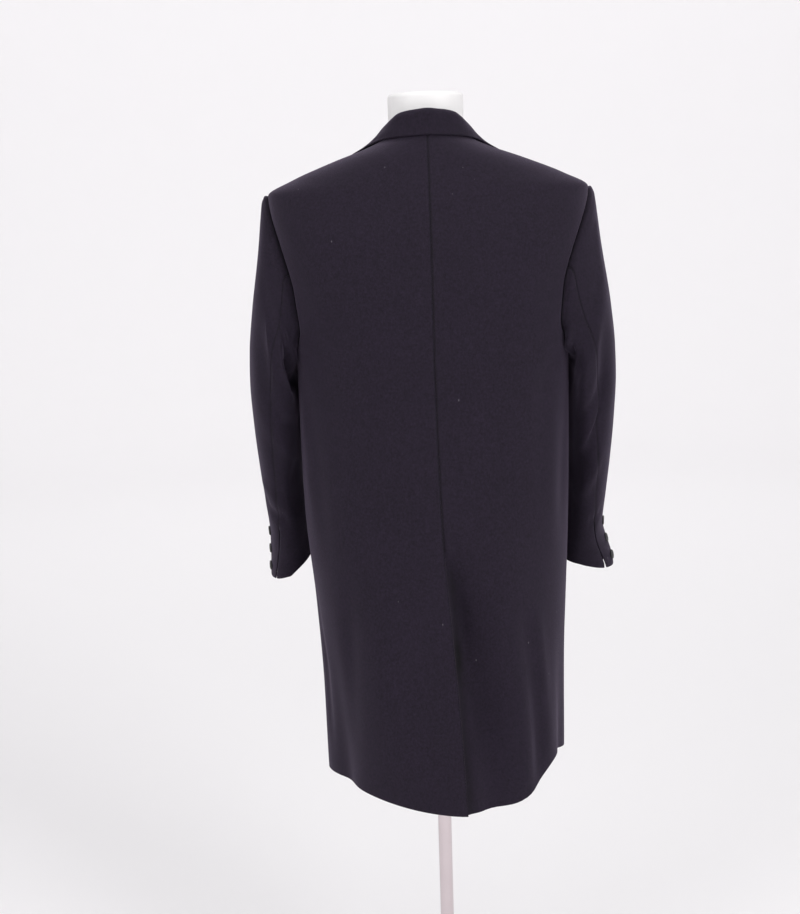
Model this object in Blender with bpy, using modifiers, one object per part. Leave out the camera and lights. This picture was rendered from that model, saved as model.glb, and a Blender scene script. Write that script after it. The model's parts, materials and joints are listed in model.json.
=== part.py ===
"""Wool overcoat with a back vent, on a limbless dress form with a pole stand.

Metres, +Z up, the coat's front faces -Y and the wearer's left is +X. The stand's axis is the Z axis.
Angles round the body start at the centre back, pass the wearer's left at 90 and the centre front at 180.
"""

import math

import bmesh
import bpy
from mathutils import Vector

# Cloth and clearances
CLOTH = 0.0025
COLLAR_CLOTH = 0.0024
SEAM_GAP = 0.0003
LAP_DROP = 0.0040
TURN_STEP = 3.0
WAY_STEP = 0.012

# Heights of the coat
HEM_Z = 0.480
HEM_RISE = {1: 0.014, -1: 0.050}
HEM_BOW = {1: 0.009, -1: -0.008}
FRONT_HEM_RISE = 0.010
HEM_CORNER = {"rise": 0.030, "turn": -50.0, "width": 15.0}
HEM_LIFT_TOP = 0.800
VENT_Z = 0.875
VENT_CORNER_Z = 0.845
BREAK_Z = 1.090
SHOULDER_Z = 1.400
GORGE_Z = 1.432
NECK_Z = 1.472
NECK_RISE = 0.020

# Cut of the back, front and lapels
SIDE_SEAM = 86.0
UNDERLAP = 11.0
FRONT_LAP = 0.027
GORGE_X = 0.062
NECK_X = 0.064
LAPEL_CORNER = (0.148, 1.345)
NOTCH_SHARE = 0.62
LAPEL_BELLY = 0.014
VENT_SINK_Z = (0.935, 0.877)
VENT_SINK_TURN = (-9.0, -1.0)
LAP_SINK_Z = (1.290, 1.210)
LAP_SINK_TURN = (148.0, 164.0)
PANEL_COLUMNS = 11
LAPEL_ROWS = 10

# Sleeves
FRONT_SEAM = -120.0
SLIT_OPEN = 0.0045
TOP_COLUMNS = 13
UNDER_COLUMNS = 11
SLEEVE_SQUARE = 2.3
SLEEVE_HALF = 0.035
FLARE_TURN = 18.0
FLARE_WIDTH = 42.0
SLIT_TOP = 0.84
TILT_TOP = 0.70
FIRST_RING = 0.015
HEAD_END = 0.30
ARMHOLE_MIDDLE = (0.2262, 1.2825)
CUFF_FLARE = {1: 0.002, -1: 0.019}
CUFF_TILT = {1: 0.030, -1: 0.008}

# Buttons
FRONT_BUTTON_R = 0.0140
FRONT_BUTTON_T = 0.0045
FRONT_BUTTON_Z = (1.060, 0.930, 0.800)
CUFF_BUTTON_R = 0.0075
CUFF_BUTTON_T = 0.0035
CUFF_BUTTON_TURN = 26.0
CUFF_BUTTON_STEPS = (0.965, 0.905, 0.845)
CUFF_BUTTON_RIM = [(7.0, 0.0), (-7.0, 0.0), (0.0, 0.014), (0.0, -0.014), (5.0, 0.010), (5.0, -0.010),
                   (-5.0, 0.010), (-5.0, -0.010), (0.0, 0.0)]
BUTTON_SIDES = 14
BUTTON_BEVEL = 0.0008

# Dress form and stand
FORM_DROP = 0.0032
FORM_BACK_EASE = 0.0115
FORM_FRONT_EASE = 0.0070
FORM_SQUARE = 2.3
FORM_BOTTOM_Z = 0.740
FORM_SIDES = 28
POLE_R = 0.011
POLE_SIDES = 24
BASE_R = 0.165
BASE_T = 0.010
BASE_SIDES = 48
BASE_BEVEL = 0.003

# Colours, linear RGB
WOOL_COLOUR = (0.020, 0.017, 0.026)
BUTTON_COLOUR = (0.012, 0.011, 0.014)
FORM_COLOUR = (0.80, 0.78, 0.76)
STEEL_COLOUR = (0.62, 0.62, 0.63)


def curve(xs, ys):
    """A smooth function through the points that never swings past them."""
    steps = [(y1 - y0) / (x1 - x0) for x0, x1, y0, y1 in zip(xs, xs[1:], ys, ys[1:])]
    slopes = [steps[0]]
    for before, after in zip(steps, steps[1:]):
        level = before * after <= 0
        slopes.append(0.0 if level else 2 * before * after / (before + after))
    slopes.append(steps[-1])

    def value(x):
        x = min(max(x, xs[0]), xs[-1])
        i = 0
        while i < len(xs) - 2 and x > xs[i + 1]:
            i += 1
        width = xs[i + 1] - xs[i]
        t = (x - xs[i]) / width
        rise = (3 - 2 * t) * t * t
        lead = slopes[i] * t * (1 - t) ** 2
        trail = slopes[i + 1] * t * t * (t - 1)
        return ys[i] + (ys[i + 1] - ys[i]) * rise + width * (lead + trail)

    return value


def table(columns, rows):
    """Named smooth functions of the first column, one for each other column."""
    names = columns.split()
    keys = [row[0] for row in rows]
    return {name: curve(keys, [row[i] for row in rows]) for i, name in enumerate(names) if i}


# Outer face of the coat's body, hem to neck; square 2 is an ellipse and more is boxier
BODY = table("z half_width back front square twist shift", [
    (0.480, 0.1880, 0.2170, 0.1780, 1.95, 6.8, -0.0045),
    (0.620, 0.1910, 0.2050, 0.1740, 2.10, 4.8, -0.0045),
    (0.770, 0.1985, 0.1880, 0.1690, 2.25, 3.0, -0.0030),
    (0.920, 0.2070, 0.1710, 0.1610, 2.40, 1.4, 0.0),
    (1.050, 0.2090, 0.1560, 0.1530, 2.60, 0.5, 0.0),
    (1.165, 0.2095, 0.1490, 0.1450, 2.80, 0.0, 0.0),
    (1.250, 0.2155, 0.1440, 0.1360, 3.00, 0.0, 0.0),
    (1.320, 0.2290, 0.1330, 0.1200, 3.00, 0.0, 0.0),
    (1.370, 0.2400, 0.1200, 0.0980, 2.80, 0.0, 0.0),
    (1.400, 0.2430, 0.1110, 0.0840, 2.60, 0.0, 0.0),
    (1.421, 0.2070, 0.1040, 0.0760, 2.50, 0.0, 0.0),
    (1.446, 0.1460, 0.0950, 0.0680, 2.40, 0.0, 0.0),
    (1.467, 0.0890, 0.0850, 0.0620, 2.20, 0.0, 0.0),
    (1.476, 0.0720, 0.0795, 0.0600, 2.10, 0.0, 0.0),
    (1.492, 0.0640, 0.0710, 0.0580, 2.00, 0.0, 0.0),
])

# Heights of the panels' rows below and above the armhole
SKIRT_ROWS = (HEM_Z, 0.530, 0.585, 0.645, 0.705, 0.765, 0.810, 0.845, 0.875, 0.930, 1.000, 1.060,
              1.115)
SHOULDER_ROWS = (1.4105, 1.421, 1.4335, 1.446, 1.4565, 1.4645, 1.472)

# Large folds of the skirt: where, how wide, how far out or in at the hem, and where they die out
FOLDS = [
    {"turn": -13.0, "width": 8.0, "height": -0.0120, "top": 0.900},
    {"turn": -50.0, "width": 7.0, "height": 0.0060, "top": 0.780},
    {"turn": -59.0, "width": 6.0, "height": -0.0050, "top": 0.760},
    {"turn": -68.0, "width": 7.0, "height": 0.0030, "top": 0.800},
    {"turn": 62.0, "width": 8.0, "height": -0.0080, "top": 0.800},
    {"turn": 82.0, "width": 10.0, "height": 0.0050, "top": 0.800},
    {"turn": 118.0, "width": 10.0, "height": 0.0060, "top": 0.780},
    {"turn": 140.0, "width": 9.0, "height": -0.0050, "top": 0.740},
    {"turn": -112.0, "width": 11.0, "height": -0.0060, "top": 0.780},
    {"turn": -134.0, "width": 10.0, "height": 0.0060, "top": 0.760},
]

# The armhole, from the shoulder point by the back to the underarm and up the front
ARMHOLE = table("way z turn", [
    (0, 1.400, 90.0),
    (30, 1.372, 81.5),
    (60, 1.312, 72.0),
    (90, 1.255, 67.0),
    (120, 1.208, 66.0),
    (150, 1.177, 71.5),
    (180, 1.165, 86.0),
    (210, 1.177, 101.5),
    (240, 1.208, 109.0),
    (270, 1.255, 110.0),
    (300, 1.312, 106.0),
    (330, 1.372, 97.5),
    (360, 1.400, 90.0),
])
ARMHOLE_EASE = {1: 3.5, -1: -2.0}
ARMHOLE_WAYS = (180, 165, 150, 135, 120, 105, 90, 75, 60, 45, 30, 15, 0)

# The lapel's roll: steps across it, each with a distance from the front's edge or a share of its width
LAPEL_STEPS = [
    {"ahead": 0.0046, "share": 0.0, "out": 0.0004},
    {"ahead": 0.0030, "share": 0.0, "out": 0.0052},
    {"ahead": 0.0, "share": 0.035, "out": 0.0082},
    {"ahead": 0.0, "share": 0.22, "out": 0.0086},
    {"ahead": 0.0, "share": 0.42, "out": 0.0076},
    {"ahead": 0.0, "share": 0.62, "out": 0.0060},
    {"ahead": 0.0, "share": 0.82, "out": 0.0046},
    {"ahead": 0.0, "share": 1.0, "out": 0.0033},
]
LAPEL_TOP_GAP = 0.0020
LAPEL_START = {1: 0.05, -1: 0.377}
LAPEL_TIP_START = {1: 0.05, -1: 0.235}

# Rings of a sleeve below the armhole: its outer and inner points, depth and how far the front is raised
SLEEVE = table("share outer_x outer_z inner_x inner_z mid_y depth front_rise", [
    (0.015, 0.2505, 1.4040, 0.2130, 1.1610, 0.009, 0.0840, 0.000),
    (0.040, 0.2570, 1.3930, 0.2145, 1.1530, 0.010, 0.0860, 0.000),
    (0.090, 0.2610, 1.3640, 0.2145, 1.1400, 0.009, 0.0865, 0.000),
    (0.190, 0.2670, 1.2950, 0.2135, 1.1100, 0.007, 0.0860, 0.000),
    (0.290, 0.2750, 1.2300, 0.2125, 1.0800, 0.003, 0.0850, 0.004),
    (0.390, 0.2825, 1.1680, 0.2125, 1.0480, -0.004, 0.0830, 0.007),
    (0.480, 0.2850, 1.1120, 0.2125, 1.0160, -0.012, 0.0805, 0.010),
    (0.570, 0.2830, 1.0540, 0.2120, 0.9820, -0.022, 0.0780, 0.013),
    (0.660, 0.2790, 0.9940, 0.2100, 0.9440, -0.034, 0.0750, 0.016),
    (0.760, 0.2735, 0.9320, 0.2070, 0.9000, -0.047, 0.0715, 0.017),
    (0.850, 0.2690, 0.8760, 0.2050, 0.8620, -0.058, 0.0680, 0.015),
    (0.930, 0.2690, 0.8340, 0.2020, 0.8360, -0.066, 0.0650, 0.012),
    (1.000, 0.2700, 0.7970, 0.2000, 0.8080, -0.071, 0.0630, 0.010),
])
SLEEVE_SHARES = (0.0, 0.015, 0.04, 0.09, 0.15, 0.21, 0.27, 0.33, 0.39, 0.45, 0.51, 0.57, 0.66, 0.76,
                 0.85, 0.90, 0.95, 1.0)

# The hind seam of a sleeve, as its angle round the ring
HIND_SEAM = table("share turn", [
    (0.00, 75.0),
    (0.20, 90.0),
    (0.45, 89.0),
    (0.70, 79.0),
    (0.86, 63.0),
    (1.00, 47.0),
])

# Drag folds of the sleeves: where on the ring and along the arm, their size, and their slant
SLEEVE_FOLDS = [
    {"turn": 62.0, "share": 0.24, "across": 26.0, "along": 0.050, "height": 0.0050, "slant": 200.0},
    {"turn": 100.0, "share": 0.40, "across": 36.0, "along": 0.045, "height": -0.0060, "slant": 160.0},
    {"turn": 112.0, "share": 0.50, "across": 40.0, "along": 0.040, "height": 0.0050, "slant": 120.0},
    {"turn": 250.0, "share": 0.52, "across": 40.0, "along": 0.045, "height": -0.0060, "slant": -120.0},
]

# The collar from the centre back to the gorge: neck seam, fold, fall edge, and how far it has become
# the lapel's roll and reached the notch
COLLAR = table("way seam_z fold_r fold_z roll edge_turn edge_z turned notch", [
    (0.0, 1.4920, 0.0745, 1.5195, 0.0062, 0.0, 1.4800, 0.0, 0.0),
    (30.0, 1.4900, 0.0715, 1.5155, 0.0062, 30.0, 1.4780, 0.0, 0.0),
    (60.0, 1.4825, 0.0660, 1.5020, 0.0062, 61.0, 1.4745, 0.0, 0.0),
    (90.0, 1.4724, 0.0690, 1.4900, 0.0064, 91.0, 1.4675, 0.0, 0.0),
    (108.0, 1.4724, 0.0690, 1.4890, 0.0080, 102.0, 1.4570, 0.02, 0.0),
    (122.5, 1.4728, 0.0730, 1.4870, 0.0095, 110.0, 1.4420, 0.55, 0.05),
    (134.0, 1.4525, 0.0830, 1.4700, 0.0095, 114.0, 1.4220, 1.0, 0.40),
    (138.5, 1.4330, 0.0915, 1.4470, 0.0060, 116.5, 1.4020, 1.0, 1.0),
])
COLLAR_ROLL = [
    {"ahead": 0.0054, "out": -0.0012},
    {"ahead": 0.0061, "out": 0.0014},
    {"ahead": 0.0057, "out": 0.0042},
    {"ahead": 0.0042, "out": 0.0070},
    {"ahead": 0.0014, "out": 0.0088},
]
COLLAR_WAYS = (0, 12, 24, 36, 48, 60, 72, 82, 92, 102, 110, 117, 123, 129, 134, 138.5)
COLLAR_SEAM_RISE = 0.0008
STAND_MIDDLE = 0.55
FOLD_OUT = 0.85
FOLD_DOWN = 0.80
COLLAR_LIFT = 0.0052
COLLAR_BELLY = 0.0097
COLLAR_FALL = (0.07, 0.28, 0.5, 0.75, 1.0)
GORGE_WAY = 130.0

# The dress form below its shoulders
FORM = table("z half_width back front square", [
    (0.740, 0.1560, 0.1120, 0.1020, 2.3),
    (0.850, 0.1690, 0.1240, 0.1060, 2.3),
    (1.000, 0.1560, 0.1080, 0.1060, 2.3),
    (1.130, 0.1720, 0.1240, 0.1180, 2.4),
    (1.250, 0.1850, 0.1280, 0.1180, 2.5),
    (1.330, 0.1950, 0.1180, 0.1000, 2.5),
    (1.385, 0.2000, 0.1020, 0.0790, 2.4),
    (1.4125, 0.2000, 0.0930, 0.0690, 2.3),
])
FORM_ROWS = (0.740, 0.780, 0.850, 0.925, 1.000, 1.065, 1.130, 1.190, 1.250, 1.290, 1.330, 1.360,
             1.385, 1.400, 1.4125)
FORM_SHOULDER_ROWS = (1.424, 1.436, 1.448, 1.458, 1.464)
FORM_NECK = [
    {"z": 1.476, "radius": 0.0600, "mid_y": 0.002},
    {"z": 1.488, "radius": 0.0572, "mid_y": 0.001},
    {"z": 1.515, "radius": 0.0570, "mid_y": -0.001},
    {"z": 1.538, "radius": 0.0570, "mid_y": -0.003},
    {"z": 1.543, "radius": 0.0555, "mid_y": -0.004},
    {"z": 1.545, "radius": 0.0520, "mid_y": -0.004},
]


def ramp(value, low, high):
    """0 at low, 1 at high, with soft ends."""
    t = min(max((value - low) / (high - low), 0.0), 1.0)
    return t * t * (3 - 2 * t)


def ring_radius(turn, half_width, back, front, square):
    """Distance from the axis to a boxed ellipse in one direction."""
    sine = abs(math.sin(math.radians(turn)))
    cosine = math.cos(math.radians(turn))
    depth = back if cosine > 0 else front
    return ((sine / half_width) ** square + (abs(cosine) / depth) ** square) ** (-1 / square)


def fold_height(turn, z):
    """How far the skirt's folds move the cloth out at a place."""
    height = 0.0
    for fold in FOLDS:
        away = (turn - fold["turn"] + 180) % 360 - 180
        height += fold["height"] * math.exp(-(away / fold["width"]) ** 2) * ramp(z, fold["top"], HEM_Z)
    return height


def body_point(turn, z, out=0.0):
    """A point of the coat's outer face, moved out by a distance."""
    sizes = [BODY[name](z) for name in ("half_width", "back", "front", "square")]
    radius = ring_radius(turn, *sizes) + fold_height(turn, z) + out
    angle = math.radians(turn - BODY["twist"](z))
    return Vector((radius * math.sin(angle) + BODY["shift"](z), radius * math.cos(angle), z))


def over_body(turn, z, out):
    """A point lifted off the coat's outer face, square to it."""
    return body_point(turn, z) + outward_at(body_point, turn, z, 1) * out


def front_turn(side, x, z):
    """The angle on one side at which the front has a given distance from the middle."""
    low, high = 90.0, 215.0
    for _ in range(40):
        middle = (low + high) / 2
        if side * body_point(side * middle, z).x > x:
            low = middle
        else:
            high = middle
    return (low + high) / 2


def neck_lift(turn, z):
    """The back neck stands higher than the shoulder's neck point."""
    back = max(math.cos(math.radians(turn)), 0.0)
    return NECK_RISE * back ** 1.5 * ramp(z, SHOULDER_Z, NECK_Z)


def hem_lift(turn, z):
    """The hem dips at the centre back and hangs higher at the sides."""
    side = 1 if turn > 0 else -1
    angle = math.radians(min(abs(turn), 180.0))
    if abs(turn) < 90.0:
        rise = HEM_RISE[side] * math.sin(angle) ** 2 + HEM_BOW[side] * math.sin(2 * angle)
    else:
        rise = HEM_RISE[side] + (FRONT_HEM_RISE - HEM_RISE[side]) * math.cos(angle) ** 2
    away = (turn - HEM_CORNER["turn"]) / HEM_CORNER["width"]
    rise += HEM_CORNER["rise"] * math.exp(-away ** 2)
    return rise * ramp(z, HEM_LIFT_TOP, HEM_Z)


def armhole(side, way):
    """Height and angle of the armhole seam; the left back is cut a little wider."""
    ease = ARMHOLE_EASE[side] * max(math.sin(math.radians(way)), 0.0)
    return ARMHOLE["z"](way), ARMHOLE["turn"](way) + ease


def gap_turn(z, width=SEAM_GAP / 2):
    """A small width at the body's edge as an angle."""
    return math.degrees(width / BODY["half_width"](z))


def front_edge_x(z):
    """Distance of the front's edge from the middle: the lap, the break line, then the neck."""
    if z < BREAK_Z:
        return -FRONT_LAP
    if z < GORGE_Z:
        return -FRONT_LAP + (GORGE_X + FRONT_LAP) * (z - BREAK_Z) / (GORGE_Z - BREAK_Z)
    return GORGE_X + (NECK_X - GORGE_X) * (z - GORGE_Z) / (NECK_Z - GORGE_Z)


def side_rows(side, back):
    """Heights of a panel's rows with the angle of its outer edge: side seam, armhole, shoulder seam."""
    rows = [(z, SIDE_SEAM) for z in SKIRT_ROWS]
    for way in ARMHOLE_WAYS:
        rows.append(armhole(side, way if back else 360 - way))
    rows += [(z, 90.0) for z in SHOULDER_ROWS]
    inward = -1 if back else 1
    return [(z, turn + inward * gap_turn(z)) for z, turn in rows]


def vent_drop(turn, z):
    """How far the right back sinks under the left one at the vent."""
    return -LAP_DROP * ramp(z, *VENT_SINK_Z) * ramp(turn, *VENT_SINK_TURN)


def underlap_turn(z):
    """Edge of the right back past the centre: none above the vent, then the underlap."""
    return UNDERLAP * min(max((VENT_Z - z) / (VENT_Z - VENT_CORNER_Z), 0.0), 1.0)


def back_point(side, turn, z):
    """A point of a back's outer face; side is 1 for the wearer's left and -1 for the right."""
    drop = vent_drop(turn, z) if side < 0 else 0.0
    return body_point(turn, z + neck_lift(turn, z) + hem_lift(turn, z), drop)


def back_places(side):
    """Angle and height of each point of a back, rows hem to neck."""
    places = []
    for z, outer in side_rows(side, True):
        inner = gap_turn(z)
        if side < 0:
            inner -= underlap_turn(z)
        turns = [inner + (outer - inner) * i / PANEL_COLUMNS for i in range(PANEL_COLUMNS + 1)]
        places.append([(side * turn, z) for turn in turns])
    return places


def front_point(side, turn, z):
    """A point of a front's outer face; the right one sinks under the left at the lap."""
    height = z + hem_lift(turn, z)
    if side > 0:
        return body_point(turn, height)
    drop = -LAP_DROP * ramp(-turn, *LAP_SINK_TURN) * ramp(z, *LAP_SINK_Z)
    return body_point(turn, height, drop)


def front_places(side):
    """Angle and height of each point of a front, rows hem to neck."""
    places = []
    for z, outer in side_rows(side, False):
        edge = front_turn(side, front_edge_x(z), z)
        turns = [outer + (edge - outer) * i / PANEL_COLUMNS for i in range(PANEL_COLUMNS + 1)]
        places.append([(side * turn, z) for turn in turns])
    return places


def chest_point(side, x, z, out):
    """A point over a front, given by its distance from the middle and height."""
    return over_body(side * front_turn(side, x, z), z, out)


def lapel_grid(side):
    """Points of a lapel, rows from the break up to the gorge, columns from the roll to the edge."""
    grid = []
    for r in range(LAPEL_ROWS + 1):
        rise = LAPEL_START[side] + (1 - LAPEL_START[side]) * r / LAPEL_ROWS
        tip_rise = LAPEL_TIP_START[side] + (1 - LAPEL_TIP_START[side]) * r / LAPEL_ROWS
        roll_z = BREAK_Z + (GORGE_Z - BREAK_Z) * rise - LAPEL_TOP_GAP
        roll_x = front_edge_x(roll_z)
        belly = LAPEL_BELLY * math.sin(math.pi * tip_rise)
        tip_x = -FRONT_LAP + (LAPEL_CORNER[0] + FRONT_LAP) * tip_rise + belly
        tip_z = BREAK_Z + (LAPEL_CORNER[1] - BREAK_Z) * tip_rise - LAPEL_TOP_GAP
        row = []
        for step in LAPEL_STEPS:
            x = roll_x - step["ahead"] + (tip_x - roll_x) * step["share"]
            z = roll_z + (tip_z - roll_z) * step["share"]
            row.append(chest_point(side, x, z, step["out"]))
        grid.append(row)
    return grid


def collar_section(way):
    """Points across the collar at one station on the wearer's left: neck seam, fold, fall edge."""
    station = {name: COLLAR[name](way) for name in COLLAR}
    angle = math.radians(way)
    outward = Vector((math.sin(angle), math.cos(angle), 0.0))
    up = Vector((0.0, 0.0, 1.0))
    roll = station["roll"]
    seam_z = station["seam_z"]
    seam = body_point(way, seam_z, -COLLAR_CLOTH) + up * COLLAR_SEAM_RISE
    crest = outward * station["fold_r"] + up * station["fold_z"]
    inside = crest - outward * roll * FOLD_OUT - up * roll * FOLD_DOWN
    outside = crest + outward * roll * FOLD_OUT - up * roll * FOLD_DOWN
    notch_x = GORGE_X + (LAPEL_CORNER[0] - GORGE_X) * NOTCH_SHARE
    notch_z = GORGE_Z + (LAPEL_CORNER[1] - GORGE_Z) * NOTCH_SHARE
    notch_turn = front_turn(1, notch_x, notch_z)
    middle_turn = (way + station["edge_turn"]) / 2
    middle_z = (seam_z + station["edge_z"]) / 2
    middle_turn += (notch_turn - middle_turn) * station["notch"]
    middle_z += (notch_z - middle_z) * station["notch"]
    knots = [(way, seam_z), (middle_turn, middle_z), (station["edge_turn"], station["edge_z"])]
    fall = []
    for share in COLLAR_FALL:
        first, second = knots[:2] if share < 0.5 else knots[1:]
        part = share * 2 if share < 0.5 else share * 2 - 1
        turn = first[0] + (second[0] - first[0]) * part
        z = first[1] + (second[1] - first[1]) * part
        if way > GORGE_WAY:
            ends = [body_point(*knot).x for knot in (first, second)]
            turn = front_turn(1, ends[0] + (ends[1] - ends[0]) * part, z)
        fall.append(over_body(turn, z, COLLAR_BELLY + (COLLAR_LIFT - COLLAR_BELLY) * share))
    fold = [seam, seam.lerp(inside, STAND_MIDDLE), inside, crest, outside]
    if station["turned"] > 0:
        front_x = front_edge_x(seam_z)
        rolled = [chest_point(1, front_x - step["ahead"], seam_z, step["out"]) for step in COLLAR_ROLL]
        fold = [a.lerp(b, station["turned"]) for a, b in zip(fold, rolled)]
    return fold + fall


def collar_grid():
    """Points of the whole collar, from the wearer's right gorge round the back to the left one."""
    left = [collar_section(way) for way in COLLAR_WAYS]
    right = [[Vector((-p.x, p.y, p.z)) for p in section] for section in left[:0:-1]]
    return right + left


def sleeve_fold(turn, share):
    """How far the drag folds move a sleeve's cloth out."""
    height = 0.0
    for fold in SLEEVE_FOLDS:
        centre = fold["turn"] + fold["slant"] * (share - fold["share"])
        away = (turn - centre + 180) % 360 - 180
        across = math.exp(-(away / fold["across"]) ** 2)
        height += fold["height"] * across * math.exp(-((share - fold["share"]) / fold["along"]) ** 2)
    return height


def sleeve_ring_point(turn, share):
    """A point of the left sleeve below the armhole; turn 0 is outermost, 90 back, 180 next to the body."""
    ring = {name: SLEEVE[name](share) for name in SLEEVE}
    outer = Vector((ring["outer_x"], 0.0, ring["outer_z"]))
    inner = Vector((ring["inner_x"], 0.0, ring["inner_z"]))
    centre = (outer + inner) / 2
    across = (outer - inner) / 2
    cosine = math.cos(math.radians(turn))
    sine = math.sin(math.radians(turn))
    size = (abs(cosine) ** SLEEVE_SQUARE + abs(sine) ** SLEEVE_SQUARE) ** (-1 / SLEEVE_SQUARE)
    level = across.normalized()
    away = sleeve_fold(turn, share)
    point = centre + across * (cosine * size) + level * (away * cosine)
    point.y = ring["mid_y"] + (ring["depth"] * size + away) * sine
    point.z -= ring["front_rise"] * sine * size
    return point


def armhole_point(side, turn):
    """A point of an armhole seam for a place round the sleeve, as on the wearer's left."""
    z, body_turn = armhole(side, turn % 360)
    point = body_point(side * body_turn, z)
    return Vector((side * point.x, point.y, point.z))


def cuff_open(share):
    """How far the cuff slit has opened, as a share."""
    return ramp(share, SLIT_TOP, 1.0)


def sleeve_point(side, turn, share):
    """A point of a sleeve, from the armhole at share 0 to the cuff at share 1."""
    point = sleeve_ring_point(turn, share)
    near = math.exp(-((turn - FLARE_TURN) / FLARE_WIDTH) ** 2)
    point.x += CUFF_FLARE[side] * near * cuff_open(share)
    inward = max(-math.cos(math.radians(turn)), 0.0)
    point.z += CUFF_TILT[side] * inward * ramp(share, TILT_TOP, 1.0)
    if share < HEAD_END:
        seam = armhole_point(side, turn) + Vector((SEAM_GAP, 0.0, 0.0))
        middle_x = (SLEEVE["outer_x"](share) + SLEEVE["inner_x"](share)) / 2 - ARMHOLE_MIDDLE[0]
        middle_z = (SLEEVE["outer_z"](share) + SLEEVE["inner_z"](share)) / 2 - ARMHOLE_MIDDLE[1]
        moved = seam + Vector((middle_x, 0.0, middle_z)) * min(share / FIRST_RING, 1.0)
        point = moved.lerp(point, ramp(share, 0.0, HEAD_END))
    point.x *= side
    return point


def cuff_cloth(side, turn, share):
    """A point of the sleeve's cloth where it runs straight between two of its rows."""
    above = max(row for row in SLEEVE_SHARES[:-1] if row <= share)
    below = min(row for row in SLEEVE_SHARES if row > above)
    part = (share - above) / (below - above)
    return sleeve_point(side, turn, above).lerp(sleeve_point(side, turn, below), part)


def cuff_button_seat(side, share):
    """Where a cuff button's underside comes, clear of the cloth all round it, and its outward direction."""
    cloth = lambda turn, way: cuff_cloth(side, turn, way)
    place = cloth(CUFF_BUTTON_TURN, share)
    outward = outward_at(cloth, CUFF_BUTTON_TURN, share, side)
    rim = [cloth(CUFF_BUTTON_TURN + turn, share + way) - place for turn, way in CUFF_BUTTON_RIM]
    return place + outward * max(step.dot(outward) for step in rim), outward


def sleeve_places(top):
    """Angle and share of each point of a sleeve's top or under piece; the cuff slit opens the hind seam."""
    places = []
    columns = TOP_COLUMNS if top else UNDER_COLUMNS
    for share in SLEEVE_SHARES:
        around = 0.5 * math.pi * (SLEEVE["depth"](share) + SLEEVE_HALF)
        gap = 90.0 * (SEAM_GAP / 2) / around
        slit = 90.0 * (SLIT_OPEN / 2) * cuff_open(share) / around
        hind = HIND_SEAM["turn"](share)
        start = FRONT_SEAM + gap if top else hind + gap + slit
        end = hind - gap - slit if top else FRONT_SEAM + 360.0 - gap
        turns = [start + (end - start) * i / columns for i in range(columns + 1)]
        places.append([(turn, share) for turn in turns])
    return places


def plain_material(name, colour, roughness, metallic=0.0):
    """A Principled material of one colour."""
    material = bpy.data.materials.new(name)
    material.use_nodes = True
    shader = material.node_tree.nodes["Principled BSDF"]
    shader.inputs["Base Color"].default_value = (*colour, 1.0)
    shader.inputs["Roughness"].default_value = roughness
    shader.inputs["Metallic"].default_value = metallic
    return material


def wool(name):
    """The coat's cloth."""
    return plain_material(name + "_wool", WOOL_COLOUR, 0.9)


def surface_wall(point_at, places, side):
    """Outer and inner points of a wall on a surface given by a function of an angle and a way along it."""
    outer, inner = [], []
    for row in places:
        outer.append([point_at(turn, way) for turn, way in row])
        inner.append([])
        for turn, way in row:
            inner[-1].append(point_at(turn, way) - outward_at(point_at, turn, way, side) * CLOTH)
    return outer, inner


def free_wall(grid, side, thickness):
    """Outer and inner points of a wall on a grid that stands by itself."""
    inner = []
    last_row, last_column = len(grid) - 1, len(grid[0]) - 1
    for r, row in enumerate(grid):
        inner.append([])
        for c, point in enumerate(row):
            along = grid[min(r + 1, last_row)][c] - grid[max(r - 1, 0)][c]
            across = row[min(c + 1, last_column)] - row[max(c - 1, 0)]
            inner[-1].append(point - along.cross(across).normalized() * side * thickness)
    return grid, inner


def cloth_piece(name, wall, side):
    """A closed cloth wall between its outer and inner points, with its edges turned through."""
    outer, inner = wall
    shell = bmesh.new()
    face = [[shell.verts.new(point) for point in row] for row in outer]
    lining = [[shell.verts.new(point) for point in row] for row in inner]
    quads = []
    rows, columns = len(outer), len(outer[0])
    for r in range(rows - 1):
        for c in range(columns - 1):
            quads.append((face[r][c], face[r + 1][c], face[r + 1][c + 1], face[r][c + 1]))
            quads.append((lining[r][c], lining[r][c + 1], lining[r + 1][c + 1], lining[r + 1][c]))
        quads.append((face[r][0], lining[r][0], lining[r + 1][0], face[r + 1][0]))
        quads.append((lining[r + 1][-1], lining[r][-1], face[r][-1], face[r + 1][-1]))
    for c in range(columns - 1):
        quads.append((face[0][c + 1], lining[0][c + 1], lining[0][c], face[0][c]))
        quads.append((face[-1][c], lining[-1][c], lining[-1][c + 1], face[-1][c + 1]))
    for quad in quads:
        shell.faces.new(quad if side > 0 else quad[::-1])
    mesh = bpy.data.meshes.new(name)
    shell.to_mesh(mesh)
    shell.free()
    mesh.materials.append(wool(name))
    bpy.context.collection.objects.link(bpy.data.objects.new(name, mesh))


def round_piece(name, radius, height, centre, along, sides, bevel, material):
    """A round piece with softened rims, standing along a direction."""
    bpy.ops.mesh.primitive_cylinder_add(vertices=sides, radius=radius, depth=height, location=centre)
    piece = bpy.context.object
    piece.name = name
    piece.rotation_mode = "QUATERNION"
    piece.rotation_quaternion = along.to_track_quat("Z", "Y")
    piece.data.materials.append(material)
    if bevel:
        rims = piece.modifiers.new("rims", "BEVEL")
        rims.width = bevel
        rims.segments = 1
        rims.limit_method = "ANGLE"
        rims.angle_limit = math.radians(60)
    return piece


def button(name, place, outward, radius, height):
    """A button standing just clear of the cloth under it."""
    centre = place + outward * (SEAM_GAP + height / 2)
    material = plain_material(name + "_horn", BUTTON_COLOUR, 0.4)
    return round_piece(name, radius, height, centre, outward, BUTTON_SIDES, BUTTON_BEVEL, material)


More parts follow.
